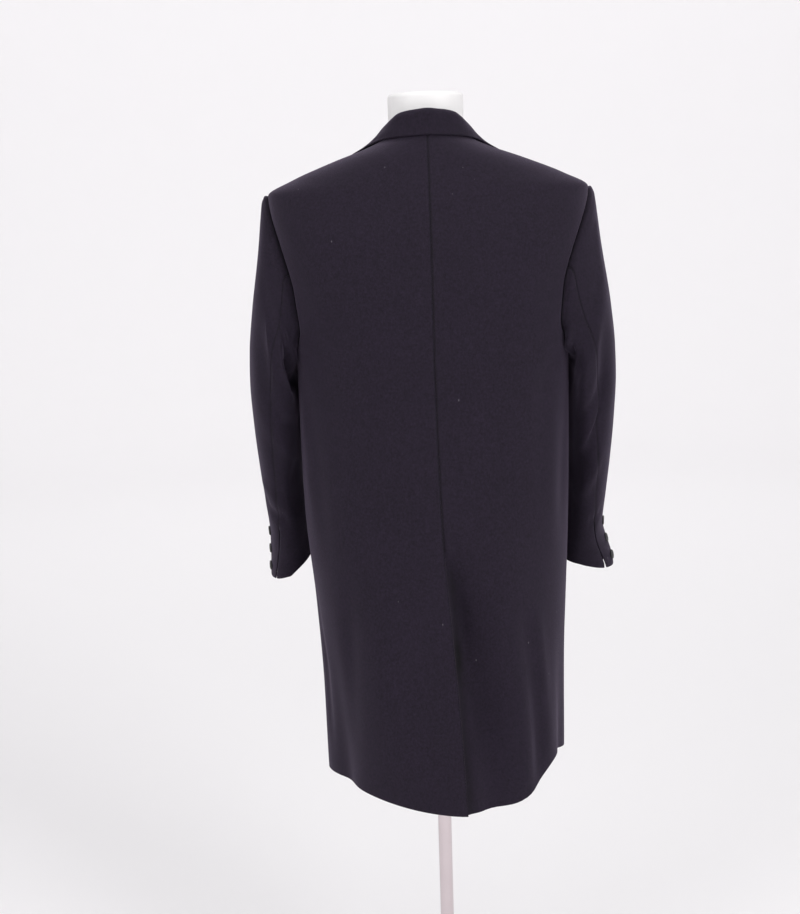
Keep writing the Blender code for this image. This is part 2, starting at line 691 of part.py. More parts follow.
def outward_at(point_at, turn, way, side):
    """The outward direction of a surface given by a function of an angle and a way along it."""
    across = point_at(turn + TURN_STEP, way) - point_at(turn - TURN_STEP, way)
    along = point_at(turn, way + WAY_STEP) - point_at(turn, way - WAY_STEP)
    return along.cross(across).normalized() * side


def form_rings():
    """Rings of the dress form, hips to neck; the shoulders follow the inside of the coat."""
    rings = []
    turns = [360.0 * i / FORM_SIDES for i in range(FORM_SIDES)]
    for z in FORM_ROWS:
        sizes = [FORM[name](z) for name in ("half_width", "back", "front", "square")]
        rings.append([polar(turn, ring_radius(turn, *sizes), z) for turn in turns])
    for z in FORM_SHOULDER_ROWS:
        above = z + FORM_DROP
        half_width = BODY["half_width"](above)
        back = BODY["back"](above) - FORM_BACK_EASE
        front = BODY["front"](above) - FORM_FRONT_EASE
        square = min(BODY["square"](above), FORM_SQUARE)
        rings.append([polar(turn, ring_radius(turn, half_width, back, front, square), z) for turn in turns])
    for row in FORM_NECK:
        shift = Vector((0.0, row["mid_y"], 0.0))
        rings.append([polar(turn, row["radius"], row["z"]) + shift for turn in turns])
    return rings


def polar(turn, radius, z):
    """A point at a distance from the axis."""
    angle = math.radians(turn)
    return Vector((radius * math.sin(angle), radius * math.cos(angle), z))


def dress_form():
    """The limbless torso and neck, one closed smooth body."""
    shell = bmesh.new()
    rings = [[shell.verts.new(point) for point in ring] for ring in form_rings()]
    for low, high in zip(rings, rings[1:]):
        for i in range(FORM_SIDES):
            j = (i + 1) % FORM_SIDES
            shell.faces.new((low[i], high[i], high[j], low[j]))
    shell.faces.new(rings[0])
    shell.faces.new(rings[-1][::-1])
    mesh = bpy.data.meshes.new("form_torso")
    shell.to_mesh(mesh)
    shell.free()
    mesh.materials.append(plain_material("form_cover", FORM_COLOUR, 0.6))
    bpy.context.collection.objects.link(bpy.data.objects.new("form_torso", mesh))


def stand():
    """The pole under the form and the floor plate under the pole."""
    up = Vector((0.0, 0.0, 1.0))
    plate = plain_material("base_steel", STEEL_COLOUR, 0.2, 1.0)
    tube = plain_material("pole_steel", STEEL_COLOUR, 0.15, 1.0)
    low = BASE_T + SEAM_GAP
    high = FORM_BOTTOM_Z - SEAM_GAP
    round_piece("stand_base", BASE_R, BASE_T, up * (BASE_T / 2), up, BASE_SIDES, BASE_BEVEL, plate)
    round_piece("stand_pole", POLE_R, high - low, up * ((low + high) / 2), up, POLE_SIDES, 0.0, tube)


def coat():
    """Every cloth piece and button."""
    cloth_piece("collar", free_wall(collar_grid(), 1, COLLAR_CLOTH), 1)
    for side, word in ((1, "left"), (-1, "right")):
        back = surface_wall(lambda turn, z: back_point(side, turn, z), back_places(side), 1)
        front = surface_wall(lambda turn, z: front_point(side, turn, z), front_places(side), 1)
        cloth_piece("back_" + word, back, side)
        cloth_piece("front_" + word, front, side)
        cloth_piece("lapel_" + word, free_wall(lapel_grid(side), -side, CLOTH), -side)
        arm = lambda turn, share: sleeve_point(side, turn, share)
        cloth_piece("sleeve_top_" + word, surface_wall(arm, sleeve_places(True), side), side)
        cloth_piece("sleeve_under_" + word, surface_wall(arm, sleeve_places(False), side), side)
        for number, share in enumerate(CUFF_BUTTON_STEPS, 1):
            place, outward = cuff_button_seat(side, share)
            button(f"cuff_button_{word}_{number}", place, outward, CUFF_BUTTON_R, CUFF_BUTTON_T)
    for number, z in enumerate(FRONT_BUTTON_Z, 1):
        turn = front_turn(1, 0.0, z)
        outward = outward_at(body_point, turn, z, 1)
        button(f"front_button_{number}", body_point(turn, z), outward, FRONT_BUTTON_R, FRONT_BUTTON_T)


for old in list(bpy.data.objects):
    bpy.data.objects.remove(old)
coat()
dress_form()
stand()
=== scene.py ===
import json
import math
from functools import partial

import bmesh
import bpy
import numpy as np
from mathutils import Matrix, Vector

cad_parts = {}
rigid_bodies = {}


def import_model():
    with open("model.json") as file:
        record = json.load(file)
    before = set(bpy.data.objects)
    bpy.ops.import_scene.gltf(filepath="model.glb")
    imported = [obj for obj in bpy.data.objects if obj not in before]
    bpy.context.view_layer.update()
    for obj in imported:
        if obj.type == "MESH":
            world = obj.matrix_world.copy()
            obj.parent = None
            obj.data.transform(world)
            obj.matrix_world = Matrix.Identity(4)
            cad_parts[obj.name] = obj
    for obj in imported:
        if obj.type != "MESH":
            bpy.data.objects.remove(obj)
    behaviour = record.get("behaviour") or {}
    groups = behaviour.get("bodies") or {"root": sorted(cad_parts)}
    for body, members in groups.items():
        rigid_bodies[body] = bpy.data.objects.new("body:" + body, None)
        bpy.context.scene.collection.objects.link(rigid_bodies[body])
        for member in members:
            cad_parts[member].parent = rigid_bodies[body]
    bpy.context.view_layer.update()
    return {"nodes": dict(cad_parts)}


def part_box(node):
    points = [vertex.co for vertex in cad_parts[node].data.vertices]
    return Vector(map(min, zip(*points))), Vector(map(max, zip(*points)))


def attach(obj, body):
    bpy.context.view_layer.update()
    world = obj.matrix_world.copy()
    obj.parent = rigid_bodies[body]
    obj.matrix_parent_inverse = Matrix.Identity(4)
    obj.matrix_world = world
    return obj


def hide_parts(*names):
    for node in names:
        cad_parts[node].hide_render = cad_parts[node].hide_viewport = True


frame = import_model()
print("frame loaded,", len(frame["nodes"]), "nodes")


# curves and steps
def softStep(value, low, high):  # 0 at low, 1 at high, low may be the larger one
    t = np.clip((value - low) / (high - low), 0.0, 1.0)
    return t * t * (3 - 2 * t)


def curveThrough(xs, ys):  # smooth through the points, never past them
    xs, ys = np.array(xs, float), np.array(ys, float)
    steps = np.diff(ys) / np.diff(xs)
    same = steps[:-1] * steps[1:] > 0
    total = np.where(same, steps[:-1] + steps[1:], 1.0)
    inner = np.where(same, 2 * steps[:-1] * steps[1:] / total, 0.0)
    slopes = np.concatenate([steps[:1], inner, steps[-1:]])

    def value(x):
        x = np.clip(x, xs[0], xs[-1])
        i = np.clip(np.searchsorted(xs, x) - 1, 0, len(xs) - 2)
        width = xs[i + 1] - xs[i]
        t = (x - xs[i]) / width
        rise = (3 - 2 * t) * t * t
        lead = slopes[i] * t * (1 - t) ** 2
        trail = slopes[i + 1] * t * t * (t - 1)
        return ys[i] + (ys[i + 1] - ys[i]) * rise + width * (lead + trail)

    return value


def columnsOf(names, rows):
    keys = [row[0] for row in rows]
    return {name: curveThrough(keys, [row[i] for row in rows]) for i, name in enumerate(names.split()) if i}


# the coat's block, the same sizes as the solids
cloth = {"wall": 0.0025, "collarWall": 0.0024, "seamGap": 0.0003, "lapDrop": 0.0040}
heights = {"hem": 0.480, "hemLiftTop": 0.800, "vent": 0.875, "ventCorner": 0.845, "breakLine": 1.090,
           "shoulder": 1.400, "gorge": 1.432, "neck": 1.472, "neckRise": 0.020}
hemShape = {"rise": {1: 0.014, -1: 0.050}, "bow": {1: 0.009, -1: -0.008}, "front": 0.010, "corner": 0.030,
            "cornerTurn": -50.0, "cornerWide": 15.0}

coatBody = columnsOf("z halfWidth back front square twist shift", [
    (0.480, 0.1880, 0.2170, 0.1780, 1.95, 6.8, -0.0045),
    (0.620, 0.1910, 0.2050, 0.1740, 2.10, 4.8, -0.0045),
    (0.770, 0.1985, 0.1880, 0.1690, 2.25, 3.0, -0.0030),
    (0.920, 0.2070, 0.1710, 0.1610, 2.40, 1.4, 0.0),
    (1.050, 0.2090, 0.1560, 0.1530, 2.60, 0.5, 0.0),
    (1.165, 0.2095, 0.1490, 0.1450, 2.80, 0.0, 0.0),
    (1.250, 0.2155, 0.1440, 0.1360, 3.00, 0.0, 0.0),
    (1.320, 0.2290, 0.1330, 0.1200, 3.00, 0.0, 0.0),
    (1.370, 0.2400, 0.1200, 0.0980, 2.80, 0.0, 0.0),
    (1.400, 0.2430, 0.1110, 0.0840, 2.60, 0.0, 0.0),
    (1.421, 0.2070, 0.1040, 0.0760, 2.50, 0.0, 0.0),
    (1.446, 0.1460, 0.0950, 0.0680, 2.40, 0.0, 0.0),
    (1.467, 0.0890, 0.0850, 0.0620, 2.20, 0.0, 0.0),
    (1.476, 0.0720, 0.0795, 0.0600, 2.10, 0.0, 0.0),
    (1.492, 0.0640, 0.0710, 0.0580, 2.00, 0.0, 0.0),
])

skirtFolds = [  # turn, width in degrees, height at the hem, where it dies out
    (-13.0, 8.0, -0.0120, 0.900),
    (-50.0, 7.0, 0.0060, 0.780),
    (-59.0, 6.0, -0.0050, 0.760),
    (-68.0, 7.0, 0.0030, 0.800),
    (62.0, 8.0, -0.0080, 0.800),
    (82.0, 10.0, 0.0050, 0.800),
    (118.0, 10.0, 0.0060, 0.780),
    (140.0, 9.0, -0.0050, 0.740),
    (-112.0, 11.0, -0.0060, 0.780),
    (-134.0, 10.0, 0.0060, 0.760),
]


def bodyPoint(turn, z, out=0.0):  # turn 0 centre back, 90 wearer's left, 180 centre front
    turn, z = np.broadcast_arrays(np.asarray(turn, float), np.asarray(z, float))
    sine = np.abs(np.sin(np.radians(turn)))
    cosine = np.cos(np.radians(turn))
    depth = np.where(cosine > 0, coatBody["back"](z), coatBody["front"](z))
    square = coatBody["square"](z)
    radius = ((sine / coatBody["halfWidth"](z)) ** square + (np.abs(cosine) / depth) ** square) ** (-1 / square)
    for foldTurn, width, height, top in skirtFolds:
        away = (turn - foldTurn + 180) % 360 - 180
        radius = radius + height * np.exp(-(away / width) ** 2) * softStep(z, top, heights["hem"])
    radius = radius + out
    angle = np.radians(turn - coatBody["twist"](z))
    return np.stack([radius * np.sin(angle) + coatBody["shift"](z), radius * np.cos(angle), z], axis=-1)


def unit(vectors):
    return vectors / np.maximum(np.linalg.norm(vectors, axis=-1, keepdims=True), 1e-12)


slopeReach = {"turn": 3.0, "way": 0.012}  # how far to each side a slope is read
frontSearch = {"from": 90.0, "to": 215.0, "rounds": 32}


def outwardAt(pointAt, turn, way, side=1):
    wide, tall = slopeReach["turn"], slopeReach["way"]
    across = pointAt(turn + wide, way) - pointAt(turn - wide, way)
    along = pointAt(turn, way + tall) - pointAt(turn, way - tall)
    return unit(np.cross(along, across)) * side


def overBody(turn, z, out):
    return bodyPoint(turn, z) + outwardAt(bodyPoint, turn, z) * out


def frontTurn(side, x, z):  # the angle where the front is x from the middle
    x, z = np.broadcast_arrays(np.asarray(x, float), np.asarray(z, float))
    low, high = np.full(x.shape, frontSearch["from"]), np.full(x.shape, frontSearch["to"])
    for _ in range(frontSearch["rounds"]):
        middle = (low + high) / 2
        beyond = side * bodyPoint(side * middle, z)[..., 0] > x
        low, high = np.where(beyond, middle, low), np.where(beyond, high, middle)
    return (low + high) / 2


def neckLift(turn, z):
    back = np.maximum(np.cos(np.radians(turn)), 0.0)
    return heights["neckRise"] * back ** 1.5 * softStep(z, heights["shoulder"], heights["neck"])


def hemLift(turn, z):
    rise = np.where(turn > 0, hemShape["rise"][1], hemShape["rise"][-1])
    bow = np.where(turn > 0, hemShape["bow"][1], hemShape["bow"][-1])
    angle = np.radians(np.minimum(np.abs(turn), 180.0))
    back = rise * np.sin(angle) ** 2 + bow * np.sin(2 * angle)
    front = rise + (hemShape["front"] - rise) * np.cos(angle) ** 2
    corner = hemShape["corner"] * np.exp(-((turn - hemShape["cornerTurn"]) / hemShape["cornerWide"]) ** 2)
    return (np.where(np.abs(turn) < 90, back, front) + corner) * softStep(z, heights["hemLiftTop"], heights["hem"])


armholeLine = columnsOf("way z turn", [
    (0, 1.400, 90.0),
    (30, 1.372, 81.5),
    (60, 1.312, 72.0),
    (90, 1.255, 67.0),
    (120, 1.208, 66.0),
    (150, 1.177, 71.5),
    (180, 1.165, 86.0),
    (210, 1.177, 101.5),
    (240, 1.208, 109.0),
    (270, 1.255, 110.0),
    (300, 1.312, 106.0),
    (330, 1.372, 97.5),
    (360, 1.400, 90.0),
])
armholeEase = {1: 3.5, -1: -2.0}


def armholeAt(side, way):
    ease = armholeEase[side] * np.maximum(np.sin(np.radians(way)), 0.0)
    return armholeLine["z"](way), armholeLine["turn"](way) + ease


# cloth pieces are grids of points: rows up the piece, columns across it
def gridNormals(grid, side):
    return unit(np.cross(np.gradient(grid, axis=0), np.gradient(grid, axis=1))) * side


def travel(grid, axis):  # distance run along the rows or the columns
    steps = np.linalg.norm(np.diff(grid, axis=axis), axis=-1)
    start = np.zeros_like(np.take(steps, [0], axis=axis))
    return np.cumsum(np.concatenate([start, steps], axis=axis), axis=axis)


def edgeRoom(grid):  # distance from each point to the first and last column and row
    across, along = travel(grid, 1), travel(grid, 0)
    return {"first": across, "last": across[:, -1:] - across, "low": along, "high": along[-1:, :] - along}


def spread(count, tight=0.86):  # 0 to 1, closer together at both ends
    t = np.linspace(0, 1, count + 1)
    return t - tight * np.sin(2 * np.pi * t) / (2 * np.pi)


def throughPoints(points, parts):  # a smooth line through a row of points, along the last axis but one
    points = np.asarray(points, float)
    ends = np.concatenate([2 * points[..., :1, :] - points[..., 1:2, :], points,
                           2 * points[..., -1:, :] - points[..., -2:-1, :]], axis=-2)
    made = []
    for i in range(points.shape[-2] - 1):
        p0, p1, p2, p3 = (ends[..., i + k, :] for k in range(4))
        for j in range(parts):
            t = j / parts
            made.append(0.5 * (2 * p1 + (p2 - p0) * t + (2 * p0 - 5 * p1 + 4 * p2 - p3) * t * t
                               + (3 * p1 - p0 - 3 * p2 + p3) * t ** 3))
    made.append(points[..., -1, :])
    return np.stack(made, axis=-2)


creaseLook = {"swing": (0.22, 7.3, 40.0), "ripple": (0.12, 17.0, 25.0), "taper": 0.7, "narrow": 0.8, "widen": 0.4}
clothWaves = [  # rate across, rate along, start
    (9.1, 3.7, 0.4),
    (-5.3, 8.2, 1.9),
    (15.7, 6.1, 2.7),
    (-13.9, 17.3, 0.8),
    (23.0, -9.4, 4.1),
    (4.2, -19.6, 5.5),
]


def creasesAt(table, across, along=1.0):  # a table's rows, brought to metres of cloth
    return [{"path": [(a * across, b * along) for a, b in line], "wide": wide, "high": high}
            for wide, high, *line in table]


def creaseLift(u, v, creases):  # soft uneven ridges and troughs along given lines
    lift = np.zeros(np.broadcast(u, v).shape)
    swing, swingRate, swingStart = creaseLook["swing"]
    ripple, rippleRate, rippleStart = creaseLook["ripple"]
    for crease in creases:
        path = np.array(crease["path"], float)
        runs = np.linalg.norm(np.diff(path, axis=0), axis=1)
        whole, done = runs.sum(), 0.0
        nearest, share = np.full(lift.shape, 1e9), np.zeros(lift.shape)
        for a, b, run in zip(path, path[1:], runs):
            t = np.clip(((u - a[0]) * (b[0] - a[0]) + (v - a[1]) * (b[1] - a[1])) / (run * run), 0, 1)
            d = np.hypot(u - a[0] - t * (b[0] - a[0]), v - a[1] - t * (b[1] - a[1]))
            share = np.where(d < nearest, (done + t * run) / whole, share)
            nearest = np.minimum(d, nearest)
            done += run
        uneven = (1 + swing * np.sin(swingRate * share + swingStart * path[0][0])
                  + ripple * np.sin(rippleRate * share + rippleStart * path[0][1]))
        taper = np.sin(np.pi * np.clip(share, 0, 1)) ** creaseLook["taper"]
        wide = crease["wide"] * (creaseLook["narrow"] + creaseLook["widen"] * share)
        lift += crease["high"] * uneven * taper * np.exp(-(nearest / wide) ** 2)
    return lift


def wander(u, v, size):  # the cloth is never quite flat
    return size * sum(np.sin(a * u + b * v + c) for a, b, c in clothWaves) / len(clothWaves)


def seamDip(room, deep=0.0007, wide=0.0030):
    return -deep * np.exp(-(room / wide) ** 2)


def seamShade(room, wide=0.0017):  # how much painted shade a point gets for lying deep in a seam
    return np.exp(-(room / wide) ** 2)


def addPiece(name, data):
    piece = bpy.data.objects.new(name, data)
    bpy.context.scene.collection.objects.link(piece)
    return piece


def smoothAll(mesh):
    mesh.polygons.foreach_set("use_smooth", np.ones(len(mesh.polygons), bool))
    return mesh


def clothObject(name, outer, side, wall, bulge, material, shade=None, crispRows=0):
    inner = outer - gridNormals(outer, side) * wall
    rows, columns = outer.shape[:2]
    index = np.arange(rows * columns).reshape(rows, columns)
    rim = np.concatenate([index[0, :], index[1:, -1], index[-1, -2::-1], index[-2:0:-1, 0]])
    inward = np.concatenate([index[1, :], index[1:, -2], index[-2, -2::-1], index[-2:0:-1, 1]])
    flatOuter, flatInner = outer.reshape(-1, 3), inner.reshape(-1, 3)
    out = unit(flatOuter[rim] - flatOuter[inward])
    puff = np.concatenate([bulge["low"] * np.ones(columns), (bulge["last"] * np.ones(rows))[1:],
                           bulge["high"] * np.ones(columns - 1), (bulge["first"] * np.ones(rows))[-2:0:-1]])
    middle = (flatOuter[rim] + flatInner[rim]) / 2 + out * puff[:, None]
    count = rows * columns
    quads = np.stack([index[:-1, :-1], index[1:, :-1], index[1:, 1:], index[:-1, 1:]], axis=-1).reshape(-1, 4)
    middles = 2 * count + np.arange(len(rim))
    after, afterMid = np.roll(rim, -1), np.roll(middles, -1)
    faces = np.concatenate([quads, quads[:, ::-1] + count, np.stack([after, afterMid, middles, rim], axis=-1),
                            np.stack([afterMid, after + count, rim + count, middles], axis=-1)])
    if side < 0:
        faces = faces[:, ::-1]
    mesh = bpy.data.meshes.new(name)
    mesh.from_pydata(np.concatenate([flatOuter, flatInner, middle]).tolist(), [], faces.tolist())
    across = travel(outer, 1)
    across = across - across[:, columns // 2:columns // 2 + 1]
    cut = np.stack([across, travel(outer, 0)], axis=-1).reshape(-1, 2)
    cut = np.concatenate([cut, cut, cut[rim]])
    layer = mesh.uv_layers.new(name="cut")  # metres on the flat cloth
    corners = np.zeros(len(mesh.loops), int)
    mesh.loops.foreach_get("vertex_index", corners)
    layer.data.foreach_set("uv", cut[corners].astype(np.float32).ravel())
    # the shade is painted shade, kept as the seam attribute for the wool finish to darken by
    shade = (np.zeros(count) if shade is None else shade).ravel()
    seam = mesh.attributes.new("seam", "FLOAT", "POINT")
    seam.data.foreach_set("value", np.concatenate([shade, shade, shade[rim]]).astype(np.float32))
    smooth = np.ones(len(mesh.polygons), bool)
    if crispRows:  # a pressed edge, counted up from the hem
        edgeEnd = 2 * len(quads) + len(rim)
        smooth[edgeEnd - crispRows:edgeEnd] = False
        smooth[len(smooth) - crispRows:] = False
    mesh.polygons.foreach_set("use_smooth", smooth)
    mesh.materials.append(material)
    mesh.update()
    return addPiece(name, mesh)


# shader groups and finishes
def newGroup(name, inputs, outputs):
    group = bpy.data.node_groups.new(name, "ShaderNodeTree")
    for label, value in inputs:
        socket = group.interface.new_socket(label, in_out="INPUT", socket_type="NodeSocketFloat")
        socket.default_value = value
    for label in outputs:
        group.interface.new_socket(label, in_out="OUTPUT", socket_type="NodeSocketFloat")
    return group, group.nodes.new("NodeGroupInput"), group.nodes.new("NodeGroupOutput")


def wire(tree, *pairs):
    for a, b in pairs:
        tree.links.new(a, b)


def plug(tree, value, socket):  # a number, a colour or another node's output
    if isinstance(value, (int, float)):
        socket.default_value = value
    elif isinstance(value, tuple):
        socket.default_value = (*value, 1.0)
    else:
        tree.links.new(value, socket)


def fill(node, values):  # constants on a node's sockets
    for label, value in values.items():
        node.inputs[label].default_value = value
    return node


def mathNode(tree, operation, a, b=None, c=None):
    node = tree.nodes.new("ShaderNodeMath")
    node.operation = operation
    for socket, value in zip(node.inputs, (a, b, c)):
        if value is not None:
            plug(tree, value, socket)
    return node.outputs[0]


def noiseNode(tree, vector, scale, detail, rough):
    node = fill(tree.nodes.new("ShaderNodeTexNoise"), {"Detail": detail, "Roughness": rough})
    plug(tree, vector, node.inputs["Vector"])
    plug(tree, scale, node.inputs["Scale"])
    return node.outputs["Fac"]


napLook = {"stretch": (1.0, 1.0, 0.45), "fibre": (4.0, 0.68), "fuzz": (2.0, 0.6), "fuzzFiner": 3.1,
           "cloud": (240.0, 3.0, 0.7), "broad": (6.5, 3.0, 0.55), "yarnSlant": 0.85, "toneStart": -0.92,
           "tone": {"fibre": 1.50, "fuzz": 0.50, "cloud": 1.50, "broad": 0.30, "yarn": 0.060},
           "height": {"fibre": 0.8, "fuzz": 0.35, "yarn": 0.08}, "lintFew": 0.90, "lintSpot": (0.030, 0.055)}


def makeNapGroup():  # brushed wool: yarns under a nap of fibres, with a little lint
    inputs = [("Fibre scale", 620.0), ("Yarn pitch", 0.0013), ("Lint scale", 62.0)]
    group, given, made = newGroup("brushedNap", inputs, ["Tone", "Height", "Lint"])
    place = group.nodes.new("ShaderNodeTexCoord").outputs["Object"]
    cut = group.nodes.new("ShaderNodeUVMap")
    cut.uv_map = "cut"
    stretch = fill(group.nodes.new("ShaderNodeMapping"), {"Scale": napLook["stretch"]})
    flat = group.nodes.new("ShaderNodeSeparateXYZ")
    wire(group, (place, stretch.inputs["Vector"]), (cut.outputs["UV"], flat.inputs["Vector"]))
    finer = mathNode(group, "MULTIPLY", given.outputs["Fibre scale"], napLook["fuzzFiner"])
    turnRate = mathNode(group, "DIVIDE", 2 * math.pi, given.outputs["Yarn pitch"])
    slant = mathNode(group, "MULTIPLY", flat.outputs["Y"], napLook["yarnSlant"])
    slant = mathNode(group, "ADD", flat.outputs["X"], slant)
    layers = {
        "fibre": noiseNode(group, stretch.outputs["Vector"], given.outputs["Fibre scale"], *napLook["fibre"]),
        "fuzz": noiseNode(group, place, finer, *napLook["fuzz"]),
        "cloud": noiseNode(group, place, *napLook["cloud"]),
        "broad": noiseNode(group, place, *napLook["broad"]),
        "yarn": mathNode(group, "SINE", mathNode(group, "MULTIPLY", slant, turnRate)),
    }
    tone, height = napLook["toneStart"], 0.0
    for layer, weight in napLook["tone"].items():
        tone = mathNode(group, "MULTIPLY_ADD", layers[layer], weight, tone)
    for layer, weight in napLook["height"].items():
        height = mathNode(group, "MULTIPLY_ADD", layers[layer], weight, height)
    specks = group.nodes.new("ShaderNodeTexVoronoi")
    chance = group.nodes.new("ShaderNodeSeparateColor")
    low, high = napLook["lintSpot"]
    spot = group.nodes.new("ShaderNodeMapRange")
    fill(spot, {"From Min": low, "From Max": high, "To Min": 1.0, "To Max": 0.0})
    few = mathNode(group, "GREATER_THAN", chance.outputs["Red"], napLook["lintFew"])
    lint = mathNode(group, "MULTIPLY", few, spot.outputs["Result"])
    wire(group, (stretch.outputs["Vector"], specks.inputs["Vector"]),
         (given.outputs["Lint scale"], specks.inputs["Scale"]),
         (specks.outputs["Color"], chance.inputs["Color"]), (specks.outputs["Distance"], spot.inputs["Value"]),
         (tone, made.inputs["Tone"]), (height, made.inputs["Height"]), (lint, made.inputs["Lint"]))
    return group


def makeSmudgeGroup():  # faint cloudy unevenness for smooth surfaces
    group, given, made = newGroup("faintSmudge", [("Scale", 14.0), ("Fine scale", 220.0)], ["Cloud", "Fine"])
    place = group.nodes.new("ShaderNodeTexCoord").outputs["Object"]
    wire(group, (noiseNode(group, place, given.outputs["Scale"], 4.0, 0.6), made.inputs["Cloud"]),
         (noiseNode(group, place, given.outputs["Fine scale"], 3.0, 0.6), made.inputs["Fine"]))
    return group


napGroup, smudgeGroup = makeNapGroup(), makeSmudgeGroup()


def newFinish(name):
    material = bpy.data.materials.new(name)
    material.use_nodes = True
    return material, material.node_tree, material.node_tree.nodes["Principled BSDF"]


def groupNode(tree, group, values):
    node = tree.nodes.new("ShaderNodeGroup")
    node.node_tree = group
    return fill(node, values)


def mixColour(tree, factor, a, b, blend="MIX"):
    node = tree.nodes.new("ShaderNodeMix")
    node.data_type = "RGBA"
    node.blend_type = blend
    for place, value in ((0, factor), (6, a), (7, b)):  # the sockets that a colour mix uses
        plug(tree, value, node.inputs[place])
    return node.outputs[2]


def bumpInto(tree, shader, height, strength, distance):
    bump = fill(tree.nodes.new("ShaderNodeBump"), {"Strength": strength, "Distance": distance})
    wire(tree, (height, bump.inputs["Height"]), (bump.outputs["Normal"], shader.inputs["Normal"]))


# the seam colour and its strength are painted shade: a near-black mixed in where seams lie, for the shadow inside them
woolLook = {"colour": (0.0114, 0.0075, 0.0158), "lint": (0.16, 0.15, 0.17), "lintMix": 0.55, "sheen": 0.17,
            "sheenRough": 0.45, "sheenTint": (0.60, 0.48, 0.72), "seamShadowColour": (0.0015, 0.0012, 0.0018),
            "seamShadowStrength": 0.55, "fibreScale": 560.0, "yarnPitch": 0.0013, "rough": (0.15, 0.80), "specular": 0.22,
            "bump": (0.35, 0.0006)}


def makeWool():
    material, tree, shader = newFinish("navyWool")
    nap = groupNode(tree, napGroup, {"Fibre scale": woolLook["fibreScale"], "Yarn pitch": woolLook["yarnPitch"]})
    toned = mixColour(tree, 1.0, woolLook["colour"], nap.outputs["Tone"], "MULTIPLY")
    # painted shade: the seam attribute darkens the wool towards a near-black colour in seams, along the vent's edge
    # and in its gape
    seam = tree.nodes.new("ShaderNodeAttribute")
    seam.attribute_name = "seam"
    deep = mathNode(tree, "MULTIPLY", seam.outputs["Fac"], woolLook["seamShadowStrength"])
    seamShadowed = mixColour(tree, deep, toned, woolLook["seamShadowColour"])
    lint = mathNode(tree, "MULTIPLY", nap.outputs["Lint"], woolLook["lintMix"])
    linted = mixColour(tree, lint, seamShadowed, woolLook["lint"])
    rough = mathNode(tree, "MULTIPLY_ADD", nap.outputs["Height"], *woolLook["rough"])
    wire(tree, (linted, shader.inputs["Base Color"]), (rough, shader.inputs["Roughness"]))
    fill(shader, {"Specular IOR Level": woolLook["specular"], "Sheen Weight": woolLook["sheen"],
                  "Sheen Roughness": woolLook["sheenRough"], "Sheen Tint": (*woolLook["sheenTint"], 1.0)})
    bumpInto(tree, shader, nap.outputs["Height"], *woolLook["bump"])
    return material


smoothLooks = {  # cloudy and fine noise scales, what tints and what roughens, two colours, roughness swing and base
    "darkHorn": {"scales": (90.0, 700.0), "tint": "Cloud", "roughBy": "Fine", "rough": (0.18, 0.38),
                 "colours": ((0.005, 0.0045, 0.006), (0.018, 0.015, 0.017)), "bump": (0.12, 0.0003), "metal": 0.0},
    "navyThread": {"scales": (300.0, 2600.0), "tint": "Fine", "roughBy": None, "rough": (0.0, 0.62),
                   "colours": ((0.008, 0.007, 0.012), (0.030, 0.026, 0.040)), "bump": (0.4, 0.0003), "metal": 0.0},
    "paleFormCover": {"scales": (9.0, 900.0), "tint": "Cloud", "roughBy": "Cloud", "rough": (0.2, 0.42),
                      "colours": ((0.74, 0.73, 0.725), (0.82, 0.815, 0.81)), "bump": (0.08, 0.0004), "metal": 0.0},
    "poleChrome": {"scales": (22.0, 480.0), "tint": "Cloud", "roughBy": "Cloud", "rough": (0.16, 0.06),
                   "colours": ((0.62, 0.55, 0.565), (0.6696, 0.594, 0.6102)), "bump": (0.03, 0.0002), "metal": 1.0},
    "plateChrome": {"scales": (22.0, 480.0), "tint": "Cloud", "roughBy": "Cloud", "rough": (0.16, 0.06),
                    "colours": ((0.74, 0.74, 0.75), (0.7992, 0.7992, 0.81)), "bump": (0.03, 0.0002), "metal": 1.0},
}


def makeSmooth(name):
    look = smoothLooks[name]
    material, tree, shader = newFinish(name)
    smudge = groupNode(tree, smudgeGroup, dict(zip(("Scale", "Fine scale"), look["scales"])))
    swing, rough = look["rough"]
    if look["roughBy"]:
        rough = mathNode(tree, "MULTIPLY_ADD", smudge.outputs[look["roughBy"]], swing, rough)
    plug(tree, rough, shader.inputs["Roughness"])
    plug(tree, mixColour(tree, smudge.outputs[look["tint"]], *look["colours"]), shader.inputs["Base Color"])
    fill(shader, {"Metallic": look["metal"]})
    bumpInto(tree, shader, smudge.outputs["Fine"], *look["bump"])
    return material


wool, horn, thread = makeWool(), makeSmooth("darkHorn"), makeSmooth("navyThread")
print("finishes made")

# backs and fronts
panelCut = {"sideSeam": 86.0, "underlap": 11.0, "frontLap": 0.027, "gorgeX": 0.062, "neckX": 0.064,
            "ventSinkZ": (0.935, 0.877), "ventSinkTurn": (-9.0, -1.0), "lapSinkZ": (1.290, 1.210),
            "lapSinkTurn": (148.0, 164.0), "columns": 74, "rowStep": 0.0085, "armholeStep": 3.0, "shoulderRows": 26,
            "hemRows": (0, 0.0008, 0.002, 0.004, 0.007, 0.011, 0.016), "skirtFrom": 0.022, "skirtShort": 0.004}
panelSewing = {"still": 0.02, "stillTop": 0.03, "stillFront": (0.03, 0.075), "wander": 0.0011, "dipZ": (1.395, 1.350),
               "edgeBulge": 0.0009, "seamBulge": 0.0002, "breakFade": 0.02}
